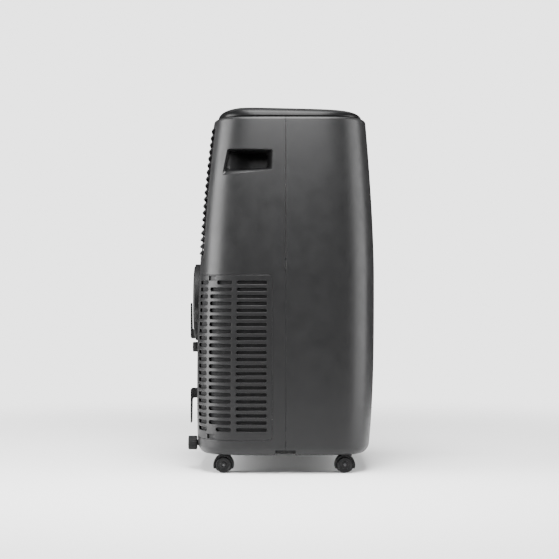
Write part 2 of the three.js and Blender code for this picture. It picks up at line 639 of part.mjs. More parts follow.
// ---------------------------------------------------------------- assembly
housings();
basePan();
topCover();
const topPlane = new THREE.Group();
topPlane.position.set(0, outlet.rear, capHeight(outlet.rear));
topPlane.rotation.x = Math.atan(cap.tilt);
machine.add(topPlane);
outletFlap(topPlane);
controlPanel(topPlane);
handleCups();
sideGrilles();
upperFilter();
exhaustFlange();
rearFittings();
casters();
deck();
coil('evaporator_coil', coils.evaporator);
coil('condenser_coil', coils.condenser);
fanWheel('evaporator_fan', upperFan);
fanWheel('condenser_fan', lowerFan);
motor('upper_fan_motor', upperFan);
motor('lower_fan_motor', lowerFan);
upperScroll();
vanes();
lowerScroll();
compressor();
refrigerantPipes();
electrics();

const unit = new THREE.Group();
unit.add(machine);

export default unit;
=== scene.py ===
"""Portable air conditioner: the finished look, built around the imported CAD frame.

Patterns are drawn flat in millimetres and wrapped on to the casing; objects are in metres.
"""
import math

import bmesh
import bpy
import numpy as np
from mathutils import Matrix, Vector
from mathutils.geometry import delaunay_2d_cdt


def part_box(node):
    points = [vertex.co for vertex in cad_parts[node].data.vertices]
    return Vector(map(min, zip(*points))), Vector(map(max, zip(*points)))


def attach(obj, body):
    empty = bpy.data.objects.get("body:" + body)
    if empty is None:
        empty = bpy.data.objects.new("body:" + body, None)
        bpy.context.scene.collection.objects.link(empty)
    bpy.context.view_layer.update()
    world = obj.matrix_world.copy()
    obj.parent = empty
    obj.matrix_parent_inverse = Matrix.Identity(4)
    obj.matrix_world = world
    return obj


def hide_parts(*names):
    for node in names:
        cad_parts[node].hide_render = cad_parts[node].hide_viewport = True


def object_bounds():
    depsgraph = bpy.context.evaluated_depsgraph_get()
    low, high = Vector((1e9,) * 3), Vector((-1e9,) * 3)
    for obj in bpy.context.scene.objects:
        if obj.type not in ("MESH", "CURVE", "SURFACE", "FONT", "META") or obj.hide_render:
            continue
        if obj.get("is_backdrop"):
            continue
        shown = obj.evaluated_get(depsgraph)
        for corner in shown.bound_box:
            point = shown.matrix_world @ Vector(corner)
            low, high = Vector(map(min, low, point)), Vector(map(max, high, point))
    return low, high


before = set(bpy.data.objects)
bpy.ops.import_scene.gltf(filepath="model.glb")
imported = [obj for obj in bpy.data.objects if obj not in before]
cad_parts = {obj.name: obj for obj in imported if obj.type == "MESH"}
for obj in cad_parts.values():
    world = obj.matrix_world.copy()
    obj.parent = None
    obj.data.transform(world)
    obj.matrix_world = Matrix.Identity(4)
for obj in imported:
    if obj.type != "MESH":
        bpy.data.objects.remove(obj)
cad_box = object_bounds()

MM = 0.001


# --- sizes from the frame
def box_mm(name):
    """The low and high corners of a CAD node's box, in millimetres."""
    low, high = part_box(name)
    return np.array(low) / MM, np.array(high) / MM


def middle_of(name):
    """The middle of a CAD node's box: x and z, and y from the seam plane."""
    low, high = box_mm(name)
    x, y, z = (low + high) / 2
    return x, y - SEAM_Y, z


def at(x, y, z):
    """Points in metres from millimetres, with y measured from the seam plane."""
    return np.stack(np.broadcast_arrays(x, np.asarray(y) + SEAM_Y, z), axis=-1) * MM


FRONT_LOW, FRONT_HIGH = box_mm("front_housing")
REAR_LOW, REAR_HIGH = box_mm("rear_housing")
SEAM_Y = (FRONT_HIGH[1] + REAR_LOW[1]) / 2
HALF_WIDTH = REAR_HIGH[0] + 0.2
HALF_FRONT = SEAM_Y - FRONT_LOW[1]
HALF_REAR = REAR_HIGH[1] - SEAM_Y
BOTTOM = REAR_LOW[2]
TOP = REAR_HIGH[2]
EXPONENT = 4.8                 # of the rounded-rectangle plan
EDGE_HEIGHT, EDGE_INSET, EDGE_POWER = 14.0, 8.0, 1.6
RIM = 5.0
LEDGE = 2.3                    # flat ledge inside the upper rim
WALL = 2.6
SEAM_GAP = 0.35
FOOT_GAP = 0.4                 # between the rear face and what stands on it


# --- casing surface
def positive(value, power):
    return np.maximum(value, 0.0) ** power


def drawn_in(z, widest, above, below):
    """How far the casing draws in at height z, by (amount, over a height, power) each way."""
    amount, span, power = above
    top = amount * positive((z - widest) / span, power)
    amount, span, power = below
    return top + amount * positive((widest - z) / span, power)


def half_front(z):
    return HALF_FRONT - drawn_in(z, 380, (23.7, 370, 1.54), (5.8, 280, 3.3))


def half_rear(z):
    return HALF_REAR - drawn_in(z, 128, (13.2, 370, 2.38), (3, 100, 2))


def half_width(z):
    return HALF_WIDTH - drawn_in(z, 310, (10, 370, 2), (4, 280, 2))


def profile_table():
    """(v, z, inset) along the casing's outline from its lower edge to the ledge inside its rim.

    v equals z on the plain wall and runs on by arc length round both edges.
    """
    turn = np.linspace(0, 1, 60)
    low = (1 - turn) ** 0.5
    low_z = BOTTOM + EDGE_HEIGHT * (1 - low)
    low_in = EDGE_INSET * (1 - (1 - low ** EDGE_POWER) ** (1 / EDGE_POWER))
    angle = np.linspace(0, math.pi / 2, 24)
    high_z = TOP - RIM + RIM * np.sin(angle)
    high_in = RIM * (1 - np.cos(angle))
    z = np.concatenate([low_z, high_z, [TOP]])
    inset = np.concatenate([low_in, high_in, [RIM + LEDGE]])
    step = np.hypot(np.diff(z), np.diff(inset))
    v = np.concatenate([[0], np.cumsum(step)])
    v += BOTTOM + EDGE_HEIGHT - v[len(low_z) - 1]
    return v, z, inset


PROFILE_V, PROFILE_Z, PROFILE_INSET = profile_table()


def outline_table():
    """Arc length u round half the plan, from the -X seam over the middle to the +X seam."""
    s = np.linspace(0, 1, 1500)
    quarter = np.where(s < 0.5, (2 * s) ** 2.4, 2 - (2 - 2 * s) ** 2.4) * math.pi / 4
    bend = 2 / EXPONENT
    along = np.cos(quarter) ** bend
    across = np.sin(quarter) ** bend
    along = np.concatenate([-along, along[::-1][1:]])
    across = np.concatenate([across, across[::-1][1:]])
    step = np.hypot(np.diff(along) * HALF_WIDTH, np.diff(across) * HALF_REAR)
    return np.concatenate([[0], np.cumsum(step)]), along, across


OUTLINE_U, OUTLINE_X, OUTLINE_Y = outline_table()
HALF_ROUND = OUTLINE_U[-1]


def u_at_side(y):
    """Arc length from the -X seam to a distance y behind (or in front of) the seam plane."""
    half = len(OUTLINE_U) // 2
    return float(np.interp(y / HALF_REAR, OUTLINE_Y[:half], OUTLINE_U[:half]))


def u_at_end(x):
    """Arc length from the -X seam to a point x on the rear or front face."""
    return float(np.interp(x / HALF_WIDTH, OUTLINE_X, OUTLINE_U))


def casing_wrap(side):
    """Maps (u, v, depth) on to the rear (+1) or front (-1) half of the casing, in metres."""
    half_depth = half_rear if side > 0 else half_front

    def sizes(v):
        z = np.interp(v, PROFILE_V, PROFILE_Z)
        inset = np.interp(v, PROFILE_V, PROFILE_INSET)
        return z, half_width(z) - inset, half_depth(z) - inset

    def wrap(points, depth):
        u, v = points[:, 0], points[:, 1]
        cx = np.interp(u, OUTLINE_U, OUTLINE_X)
        cy = np.interp(u, OUTLINE_U, OUTLINE_Y)
        z, a, b = sizes(v)
        z0, a0, b0 = sizes(v - 0.1)
        z1, a1, b1 = sizes(v + 0.1)
        power = EXPONENT - 1
        nx = np.sign(cx) * np.abs(cx) ** power / a
        ny = np.abs(cy) ** power / b
        lift = np.hypot(nx, ny)
        dz = z1 - z0
        dr = (np.abs(cx) ** EXPONENT * (a1 - a0) / a + np.abs(cy) ** EXPONENT * (b1 - b0) / b) / lift
        length = np.hypot(dz, dr)
        nz = -dr / length
        flat = dz / length / lift
        normal = np.stack([nx * flat, side * ny * flat, nz], axis=1)
        point = np.stack([cx * a, side * cy * b + SEAM_Y, z], axis=1)
        return (point - normal * np.reshape(depth, (-1, 1))) * MM

    return wrap


wrap_rear = casing_wrap(1)
wrap_front = casing_wrap(-1)


def rear_face(x, z):
    """How far behind the seam plane the rear face lies at (x, z)."""
    return half_rear(z) * (1 - np.abs(x / half_width(z)) ** EXPONENT) ** (1 / EXPONENT)


# --- mesh helpers
def make_object(name, vertices, faces, material, sharp_angle=None):
    mesh = bpy.data.meshes.new(name)
    mesh.from_pydata([tuple(v) for v in vertices], [], [tuple(int(i) for i in f) for f in faces])
    bm = bmesh.new()
    bm.from_mesh(mesh)
    bmesh.ops.remove_doubles(bm, verts=bm.verts, dist=1e-7)
    bmesh.ops.dissolve_degenerate(bm, edges=bm.edges, dist=1e-8)
    bmesh.ops.recalc_face_normals(bm, faces=bm.faces)
    for face in bm.faces:
        face.smooth = True
    if sharp_angle:
        for edge in bm.edges:
            if len(edge.link_faces) == 2 and edge.calc_face_angle(0) > math.radians(sharp_angle):
                edge.smooth = False
    bm.to_mesh(mesh)
    bm.free()
    obj = bpy.data.objects.new(name, mesh)
    bpy.context.scene.collection.objects.link(obj)
    mesh.materials.append(material)
    return obj


def hand_name(side):
    return "left" if side < 0 else "right"


def weigh_normals(obj):
    modifier = obj.modifiers.new("weighted", "WEIGHTED_NORMAL")
    modifier.keep_sharp = True
    modifier.weight = 80


def finish_piece(obj, body, slot, *replaced):
    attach(obj, body)
    if replaced:
        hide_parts(*replaced)


class Builder:
    """Collects rows of points and joins them into faces, in metres."""

    def __init__(self):
        self.vertices = []
        self.faces = []

    def add(self, points):
        start = len(self.vertices)
        self.vertices.extend([tuple(p) for p in points])
        return np.arange(start, start + len(points))

    def bridge(self, row_a, row_b):
        for i in range(len(row_a)):
            j = (i + 1) % len(row_a)
            self.faces.append((row_a[i], row_a[j], row_b[j], row_b[i]))

    def chain(self, rows):
        for first, second in zip(rows, rows[1:]):
            self.bridge(first, second)

    def loft(self, rows, cap_start=False, cap_end=False):
        indices = [self.add(row) for row in rows]
        self.chain(indices)
        if cap_start:
            self.faces.append(tuple(indices[0][::-1]))
        if cap_end:
            self.faces.append(tuple(indices[-1]))

    def make(self, name, material, sharp_angle=None):
        return make_object(name, self.vertices, self.faces, material, sharp_angle)

    def piece(self, name, look, body, slot, *replaced, sharp=None, weighted=False):
        """Makes one piece of the machine, which rides a body and stands for the CAD nodes it replaces."""
        obj = self.make(name, LOOK[look], sharp)
        if weighted:
            weigh_normals(obj)
        finish_piece(obj, body, slot, *replaced)


# --- flat outlines
def rounded_polygon(corners, radius, grow=0.0, steps=5):
    """A convex outline with rounded corners, moved outwards by grow. Corners run anticlockwise."""
    corners = np.array(corners, dtype=float)
    count = len(corners)
    radii = np.broadcast_to(radius, count)
    points = []
    for i in range(count):
        before, here, after = corners[i - 1], corners[i], corners[(i + 1) % count]
        enter = (here - before) / np.linalg.norm(here - before)
        leave = (after - here) / np.linalg.norm(after - here)
        n0 = np.array([enter[1], -enter[0]])
        n1 = np.array([leave[1], -leave[0]])
        centre = here - (n0 + n1) / (1 + n0 @ n1) * radii[i]
        a0 = math.atan2(n0[1], n0[0])
        a1 = math.atan2(n1[1], n1[0])
        if a1 < a0:
            a1 += 2 * math.pi
        for a in np.linspace(a0, a1, steps):
            points.append(centre + (radii[i] + grow) * np.array([math.cos(a), math.sin(a)]))
    return np.array(points)


def rectangle(x0, x1, y0, y1):
    return [(x0, y0), (x1, y0), (x1, y1), (x0, y1)]


def circle(x, y, radius, sides=40):
    turn = np.linspace(0, 2 * math.pi, sides, endpoint=False)
    return np.stack([x + radius * np.cos(turn), y + radius * np.sin(turn)], axis=1)


def resample(loop, spacing):
    """Adds points on a loop's long straight stretches, so that wrapped edges follow the curve."""
    return matched(loop, loop, spacing)[0]


def rolled(outer, inner, edge, wall, steps=4):
    """A rim's rows from the surface inwards: a rounded edge, then straight through the wall."""
    rows = []
    for angle in np.linspace(0, math.pi / 2, steps + 1):
        rows.append((outer + (inner - outer) * math.sin(angle), edge * (1 - math.cos(angle))))
    return [*rows, (inner, wall)]


def rim(corners, radius, edge, wall=WALL, spacing=6.0, steps=5):
    """The rim of a hole with rounded corners, or of a whole sheet where edge is negative."""
    inner = rounded_polygon(corners, radius, 0, steps)
    outer = rounded_polygon(corners, radius, edge, steps)
    return rolled(*matched(outer, inner, spacing), abs(edge), wall)


def matched(outer, inner, spacing):
    """Resamples two outlines of the same point count in step with each other."""
    points_out, points_in = [], []
    count = len(outer)
    for i in range(count):
        j = (i + 1) % count
        pieces = max(1, int(np.ceil(np.linalg.norm(outer[j] - outer[i]) / spacing)))
        for k in range(pieces):
            t = k / pieces
            points_out.append(outer[i] * (1 - t) + outer[j] * t)
            points_in.append(inner[i] * (1 - t) + inner[j] * t)
    return np.array(points_out), np.array(points_in)


def round_rim(x, y, radius, edge, wall=WALL, sides=32):
    return rolled(circle(x, y, radius + edge, sides), circle(x, y, radius, sides), edge, wall)


def lattice(low, high, step):
    count = max(1, int(round((high - low) / step)))
    return np.linspace(low, high, count + 1)


def triangulate(loops, us, vs, margin):
    """Triangles between an outer loop and its holes, on a lattice of inner points."""
    grid = np.stack(np.meshgrid(us, vs), axis=-1).reshape(-1, 2)
    low, high = loops[0].min(axis=0) + margin, loops[0].max(axis=0) - margin
    keep = np.all((grid > low) & (grid < high), axis=1)
    for loop in loops[1:]:
        low, high = loop.min(axis=0) - margin, loop.max(axis=0) + margin
        keep &= ~np.all((grid > low) & (grid < high), axis=1)
    points = [*loops, grid[keep]]
    edges = []
    start = 0
    for loop in loops:
        size = len(loop)
        edges.extend((start + i, start + (i + 1) % size) for i in range(size))
        start += size
    flat = np.concatenate(points)
    result = delaunay_2d_cdt([Vector(p) for p in flat], edges, [], 2, 1e-6)
    out_points = np.array([(p.x, p.y) for p in result[0]])
    owner = np.concatenate([np.full(len(points[k]), k) for k in range(len(points))])
    lookup = {}               # only the outlines' own points
    loop_of = np.zeros(len(out_points), dtype=int)
    for index, sources in enumerate(result[3]):
        for source in sources:
            if owner[source] < len(loops):
                lookup[source] = index
                loop_of[index] = owner[source]
    triangles = [t for t in result[2] if loop_of[t[0]] == 0 or len(set(loop_of[list(t)])) > 1]
    return out_points, triangles, lookup


def sheet(wrap, border, holes=(), us=(), vs=(), margin=1.2, open_border=False):
    """A wall with holes, wrapped by wrap(points, depth).

    border and each hole are rims: rows of (outline, depth) from the outer face to the inner one.
    An open border is left for the caller to close, and its two rows are returned too.
    """
    build = Builder()
    rims = [border, *holes]
    ends = []
    for which in (0, -1):
        flat, triangles, lookup = triangulate([rows[which][0] for rows in rims], us, vs, margin)
        indices = build.add(wrap(flat, np.full(len(flat), border[which][1])))
        build.faces.extend(tuple(indices[i] for i in triangle) for triangle in triangles)
        ends.append(indices[[lookup[i] for i in range(len(lookup))]])
    start = 0
    for number, rows in enumerate(rims):
        stop = start + len(rows[0][0])
        first, last = (indices[start:stop] for indices in ends)
        start = stop
        if open_border and number == 0:
            border_rows = (first, last)
            continue
        middle = [build.add(wrap(loop, np.full(len(loop), depth))) for loop, depth in rows[1:-1]]
        build.chain([first, *middle, last])
    return (build, *border_rows) if open_border else build


# --- materials
class Look:
    """A Principled material, with the textures that drive its inputs."""

    def __init__(self, name):
        self.material = bpy.data.materials.new(name)
        self.material.use_nodes = True
        self.tree = self.material.node_tree
        self.shader = self.tree.nodes["Principled BSDF"]
        self.place = self.tree.nodes.new("ShaderNodeTexCoord").outputs["Object"]

    def node(self, kind, **inputs):
        made = self.tree.nodes.new(f"ShaderNode{kind}")
        for name, value in inputs.items():
            made.inputs[name.replace("_", " ").title()].default_value = value
        return made

    def link(self, source, target):
        self.tree.links.new(source, target)

    def set(self, socket, value):
        self.shader.inputs[socket].default_value = value

    def noise(self, scale, detail=4.0, roughness=0.5, stretch=(1, 1, 1)):
        mapping = self.node("Mapping", scale=stretch)
        texture = self.node("TexNoise", scale=scale, detail=detail, roughness=roughness)
        self.link(self.place, mapping.inputs["Vector"])
        self.link(mapping.outputs["Vector"], texture.inputs["Vector"])
        return texture.outputs["Fac"]

    def bands(self, direction, scale, distortion=0.0):
        wave = self.node("TexWave", scale=scale, distortion=distortion)
        wave.bands_direction = direction
        self.link(self.place, wave.inputs["Vector"])
        return wave.outputs["Fac"]

    def vary(self, socket, source, low, high, start=0.3, end=0.7):
        """Drives a shader input by a texture, between two colours."""
        ramp = self.node("ValToRGB")
        for stop, position, colour in zip(ramp.color_ramp.elements, (start, end), (low, high)):
            stop.position = position
            stop.color = (*colour, 1)
        self.link(source, ramp.inputs["Fac"])
        self.link(ramp.outputs["Color"], self.shader.inputs[socket])

    def bump(self, source, strength, distance, below=None):
        bump = self.node("Bump", strength=strength, distance=distance)
        self.link(source, bump.inputs["Height"])
        if below is not None:
            self.link(below, bump.inputs["Normal"])
        self.link(bump.outputs["Normal"], self.shader.inputs["Normal"])
        return bump.outputs["Normal"]


def grey(value):
    return (value, value, value)


def scaled(colour, factor):
    return tuple(channel * factor for channel in colour)


def plastic(name, colour, roughness, spread=0.06, grain=2600.0, grain_depth=0.00006, coat=0.0, shine=0.5):
    """Moulded plastic: spark-eroded grain, uneven gloss and a little tone variation."""
    look = Look(name)
    look.vary("Base Color", look.noise(9.0, 5.0, 0.6), scaled(colour, 0.92), scaled(colour, 1.08))
    look.vary("Roughness", look.noise(38.0, 6.0, 0.62), grey(roughness - spread), grey(roughness + spread))
    wave = look.bump(look.noise(14.0, 1.0), 0.05, 0.00006)
    look.bump(look.noise(grain, 2.0), 0.35, grain_depth, wave)
    look.set("Specular IOR Level", shine)
    look.set("Coat Weight", coat)
    look.set("Coat Roughness", 0.12)
    return look.material


def drawn_metal(name, colour, roughness):
    """Metal tube with fine lines drawn along its height."""
    look = Look(name)
    look.set("Metallic", 1.0)
    lines = look.noise(300.0, 3.0, 0.6, stretch=(1, 1, 0.1))
    look.vary("Base Color", lines, scaled(colour, 0.75), scaled(colour, 1.1))
    look.vary("Roughness", look.noise(26.0, 5.0, 0.6), grey(roughness - 0.08), grey(roughness + 0.1))
    look.bump(lines, 0.4, 0.0001)
    return look.material


def finned(name, colour):
    """Packed aluminium fins: thin bright lines, and dark lines painted as the shade between fins."""
    look = Look(name)
    look.set("Metallic", 1.0)
    fins = look.bands("X", 170.0, 0.4)
    # painted shade: the base colour falls to 0.12 of the aluminium's in the bands between fins
    look.vary("Base Color", fins, scaled(colour, 0.12), colour, 0.25, 0.6)
    look.vary("Roughness", look.noise(60.0), grey(0.3), grey(0.5))
    look.bump(fins, 0.8, 0.0006)
    return look.material


def woven(name, colour, pitch):
    """Nylon filter mesh: two crossed sets of strands over dark gaps, painted shade seen through the mesh."""
    look = Look(name)
    weave = look.node("Math")
    weave.operation = "MAXIMUM"
    for socket, direction in zip(weave.inputs, ("Z", "DIAGONAL")):
        look.link(look.bands(direction, math.pi / pitch / 10), socket)
    strands = weave.outputs["Value"]
    # painted shade: the gaps between strands fall to 0.15 of the strands' colour
    look.vary("Base Color", strands, scaled(colour, 0.15), colour, 0.5, 0.8)
    look.vary("Roughness", look.noise(90.0), grey(0.6), grey(0.8))
    look.set("Specular IOR Level", 0.15)
    look.bump(strands, 0.8, 0.0003)
    return look.material


LOOK = {
    "housing": plastic("housing", (0.009, 0.009, 0.0093), 0.40, shine=0.24),
    "grille": plastic("grille", (0.0085, 0.0085, 0.0088), 0.41, shine=0.24),
    "cover": plastic("cover", (0.004, 0.004, 0.0042), 0.3, 0.05, grain_depth=0.00002, shine=0.12),
    "black": plastic("black_plastic", (0.006, 0.006, 0.0063), 0.48, shine=0.16),
    "window": plastic("display_glass", (0.004, 0.004, 0.005), 0.08, 0.02, grain_depth=0.000004, coat=1.0),
    "button": plastic("button_plastic", (0.022, 0.022, 0.023), 0.36),
    "mesh": woven("filter_mesh", (0.010, 0.010, 0.0105), 0.0016),
    "inner": plastic("inner_plastic", (0.22, 0.22, 0.21), 0.5),
    "foam": plastic("foam", (0.78, 0.78, 0.74), 0.85, 0.05, 900.0, 0.0005),
    "fan": plastic("fan_plastic", (0.02, 0.02, 0.021), 0.42),
    "copper": drawn_metal("copper", (0.72, 0.33, 0.17), 0.3),
    "fins": finned("coil_fins", (0.72, 0.74, 0.76)),
    "steel": plastic("painted_steel", (0.022, 0.022, 0.024), 0.32, 0.06, 700.0, 0.0001, coat=0.3),
    "wheel": plastic("wheel_nylon", (0.007, 0.007, 0.0073), 0.42, 0.07, shine=0.2),
    "rubber": plastic("rubber", (0.008, 0.008, 0.008), 0.7, 0.08, 1400.0, 0.0001, shine=0.2),
    "indicator": plastic("indicator", (0.5, 0.52, 0.5), 0.4),
}


# --- casing
GRILLE_LOW, GRILLE_HIGH = box_mm("side_grille_left")
LOUVRE_LOW, LOUVRE_HIGH = box_mm("upper_filter_grille")
GRILLE_U0 = u_at_side(GRILLE_LOW[1] - SEAM_Y)
GRILLE_U1 = u_at_end(GRILLE_HIGH[0])
LOUVRE_U0 = u_at_end(LOUVRE_LOW[0])
LOUVRE_U1 = HALF_ROUND - LOUVRE_U0
HANDLE_Y = (31.0, 136.0)       # from the seam plane
HANDLE_Z = (580.0, 615.0)
NOTCH_HALF, NOTCH_TOP = 20.0, 46.0
EXHAUST_HOLE, STUB_HOLE = 66.0, 7.4


def handle_corners(grow_low=0.0, grow_rear=0.0, grow_front=0.0, grow_top=0.0):
    """The handle opening in (u, v): its lower edge falls and its upper edge rises to the rear."""
    u0, u1 = (u_at_side(y) for y in HANDLE_Y)
    low, high = HANDLE_Z
    return [
        (u0 - grow_front, low - grow_low * 0.3), (u1 + grow_rear, low - 5 - grow_low),
        (u1 - 7 + grow_rear, high + 2 + grow_top), (u0 - grow_front, high + grow_top),
    ]


def handle_rim():
    """The opening has a sill that slopes in, wide below at the rear, and a fine edge above."""
    inner = rounded_polygon(handle_corners(), 4.0)
    outer = rounded_polygon(handle_corners(8.0, 1.0, 3.5, 1.0), 5.0)
    back = rounded_polygon(handle_corners(8.0, 2.5, 3.5, 3.0), 5.0)
    outer_in, inner_in = matched(outer, inner, 5.0)
    back_in = matched(outer, back, 5.0)[1]
    slope = [(outer_in + (inner_in - outer_in) * t, 5.4 * t ** 1.25) for t in (0, 0.06, 0.3, 0.65, 0.94)]
    return [*slope, (inner_in, 5.9), (inner_in + (back_in - inner_in) * 0.3, 6.3), (back_in, WALL)]


def mirrored(rows):
    """The same rim on the other side of the half casing."""
    return [(np.stack([HALF_ROUND - loop[:, 0], loop[:, 1]], axis=1)[::-1], depth) for loop, depth in rows]


def grille_rim(grow, edge):
    corners = rectangle(GRILLE_U0 - grow, GRILLE_U1 + grow, GRILLE_LOW[2] - grow, GRILLE_HIGH[2] + grow)
    return rim(corners, 9.0, edge, spacing=5.0)


def louvre_rim(grow, edge):
    corners = rectangle(LOUVRE_U0 - grow, LOUVRE_U1 + grow, LOUVRE_LOW[2] - grow, LOUVRE_HIGH[2] + grow)
    return rim(corners, 16.0, edge, spacing=5.0)


def housing_rim(us, vs, edge):
    """The half casing's border, with the notches at its two lower corners, on the wall's lattice."""
    u0, u1, v0, v1 = us[0], us[-1], vs[0], vs[-1]
    a, b = u0 + NOTCH_HALF, u1 - NOTCH_HALF
    corners = [(a, v0), (b, v0), (b, NOTCH_TOP), (u1, NOTCH_TOP), (u1, v1), (u0, v1), (u0, NOTCH_TOP),
               (a, NOTCH_TOP)]
    outer, inner = [], []
    for i, corner in enumerate(corners):
        trio = (corner, corners[(i + 1) % len(corners)], corners[i - 1])
        here, after, before = (np.array(point, dtype=float) for point in trio)
        sideways = [np.array([d[1], -d[0]]) / np.abs(d).sum() for d in (here - before, after - here)]
        mitre = sideways[0] + sideways[1]
        axis = 0 if after[1] == here[1] else 1
        stops = us if axis == 0 else vs
        low, high = sorted((here[axis], after[axis]))
        stops = [s for s in stops if low + 0.5 < s < high - 0.5]
        if after[axis] < here[axis]:
            stops = stops[::-1]
        inner.append(here)
        outer.append(here - mitre * edge)
        for stop in stops:
            point = here.copy()
            point[axis] = stop
            inner.append(point)
            outer.append(point - sideways[1] * edge)
    return rolled(np.array(outer), np.array(inner), edge, WALL)


def wall_rows():
    """Heights of the casing's lattice: close together round both edges, and even on the plain wall."""
    edge_rows = np.linspace(PROFILE_V[0], BOTTOM + EDGE_HEIGHT, 12)
    rim_rows = np.linspace(TOP - RIM, PROFILE_V[-1] - LEDGE, 9)
    return np.concatenate([edge_rows, lattice(BOTTOM + EDGE_HEIGHT, TOP - RIM, 9.0)[1:-1], rim_rows,
                           [PROFILE_V[-1]]])


def front_housing():
    us = lattice(SEAM_GAP / 2, HALF_ROUND - SEAM_GAP / 2, 6.0)
    vs = wall_rows()
    build = sheet(wrap_front, housing_rim(us, vs, 0.5), us=us, vs=vs)
    build.piece("front_shell", "housing", "cabinet", "housing", "front_housing", weighted=True)


def rear_housing():
    us = lattice(SEAM_GAP / 2, HALF_ROUND - SEAM_GAP / 2, 6.0)
    vs = wall_rows()
    handle = handle_rim()
    grille = grille_rim(SEAM_GAP, 0.7)
    exhaust_z = middle_of("exhaust_flange")[2]
    holes = [handle, mirrored(handle), grille, mirrored(grille), louvre_rim(SEAM_GAP, 0.7),
             round_rim(HALF_ROUND / 2, exhaust_z, EXHAUST_HOLE, 0.8, sides=64)]
    for name in ("upper_drain_cap", "middle_drain_plug", "lower_drain_cap", "cord_gland"):
        x, _, z = middle_of(name)
        holes.append(round_rim(u_at_end(x), z, STUB_HOLE, 0.6, sides=20))
    build = sheet(wrap_rear, housing_rim(us, vs, 0.5), holes, us=us, vs=vs)
    build.piece("rear_shell", "housing", "cabinet", "housing", "rear_housing", weighted=True)


# --- side grilles
SLOT_PITCH, SLOT_HEIGHT, SLOT_ROWS, SLOT_TOP = 13.3, 7.2, 22, 364.0


def grille_slots():
    """Three columns of long slots: beside the seam, at the corner and round on the rear."""
    corner = u_at_side(147)
    columns = [(u_at_side(36), u_at_side(95)), (u_at_side(104), corner), (corner + 6.5, GRILLE_U1 - 9)]
    slots = []
    for row in range(SLOT_ROWS):
        v = SLOT_TOP - row * SLOT_PITCH
        for index, (u0, u1) in enumerate(columns):
            if index == 1 and row in (0, SLOT_ROWS - 1):
                u1 -= 17
            corners = rectangle(u0, u1, v - SLOT_HEIGHT / 2, v + SLOT_HEIGHT / 2)
            slots.append(rim(corners, 3.0, 0.8, spacing=5.0, steps=4))
    return slots


POCKET_Y = (135.5, 151)
POCKET_HEIGHT = 9.0


def pocket_levels():
    return GRILLE_HIGH[2] - POCKET_HEIGHT - 1.4, GRILLE_LOW[2] + 1.4


def latch_pockets():
    u0, u1 = (u_at_side(y) for y in POCKET_Y)
    return [rim(rectangle(u0, u1, v, v + POCKET_HEIGHT), 0.8, 0.3, spacing=4.0, steps=3)
            for v in pocket_levels()]


def latch_tab(build, mirror, v):
    """A pointed tab that stands in the pocket from its front side, to catch a finger."""
    u0 = u_at_side(POCKET_Y[0]) - 0.5
    tip = np.array([(u0, v), (u0 + 5.5, v + POCKET_HEIGHT / 2), (u0, v + POCKET_HEIGHT)])
    if mirror:
        tip[:, 0] = HALF_ROUND - tip[:, 0]
    build.loft([wrap_rear(tip, depth) for depth in (2.2, 0.3, 0.0)], cap_start=True, cap_end=True)


def pocket_backs(side, name):
    """Dark plates that close the pockets behind their tabs, black as painted shade inside the pockets."""
    build = Builder()
    u0, u1 = (u_at_side(y) for y in POCKET_Y)
    for v in pocket_levels():
        loop = resample(rounded_polygon(rectangle(u0 - 2, u1 + 2, v - 1, v + POCKET_HEIGHT + 1), 1.0), 4.0)
        if side > 0:
            loop = np.stack([HALF_ROUND - loop[:, 0], loop[:, 1]], axis=1)
        rows = [wrap_rear(loop, depth) for depth in (WALL + 0.2, WALL + 1.0)]
        build.loft(rows, cap_start=True, cap_end=True)
    build.piece(f"pocket_backs_{name}", "black", f"side_panel_{name}", "black_plastic", sharp=35)


def side_grille(side):
    slots = grille_slots() + latch_pockets()
    us = lattice(GRILLE_U0, GRILLE_U1, 5.0)
    vs = lattice(GRILLE_LOW[2], GRILLE_HIGH[2], SLOT_PITCH / 2)
    border = grille_rim(0, -0.7)
    if side > 0:
        slots = [mirrored(rows) for rows in slots]
        border = mirrored(border)
        us = HALF_ROUND - us
    name = hand_name(side)
    build = sheet(wrap_rear, border, slots, us=us, vs=vs, margin=1.0)
    for v in pocket_levels():
        latch_tab(build, side > 0, v)
    build.piece(f"grille_{name}", "grille", f"side_panel_{name}", "grille", f"side_grille_{name}",
                weighted=True)
    pocket_backs(side, name)


FILTER_DEPTH = 4.6             # of a filter's outer face below the casing's


def wrap_filter(points, depth):
    return wrap_rear(points, np.asarray(depth) + FILTER_DEPTH)


def side_filter(side):
    name = hand_name(side)
    low, high = box_mm(f"side_filter_{name}")
    u0, u1 = GRILLE_U0 + 5, GRILLE_U1 - 7
    border = rim(rectangle(u0, u1, low[2], high[2]), 6.0, -0.3, 1.2, 5.0)
    us = lattice(u0, u1, 6.0)
    if side > 0:
        border, us = mirrored(border), HALF_ROUND - us
    build = sheet(wrap_filter, border, us=us, vs=lattice(low[2], high[2], 12.0))
    build.piece(f"filter_{name}", "mesh", f"side_panel_{name}", "filter_mesh", f"side_filter_{name}")


# --- upper louvre panel
def slat(build, u0, u1, v):
    """One weather louvre: it leans out and down to a thin lip, with a flat underside."""
    profile = [(2.2, 7.6), (0.2, 7.0), (-2.4, 3.2), (-2.9, 1.6), (-2.5, 0.9), (-1.6, 0.8), (2.2, 3.6)]
    rows = []
    for u in lattice(u0, u1, 6.0):
        points = np.array([(u, v + height) for _, height in profile])
        rows.append(wrap_rear(points, np.array([depth for depth, _ in profile])))
    build.loft(rows, cap_start=True, cap_end=True)


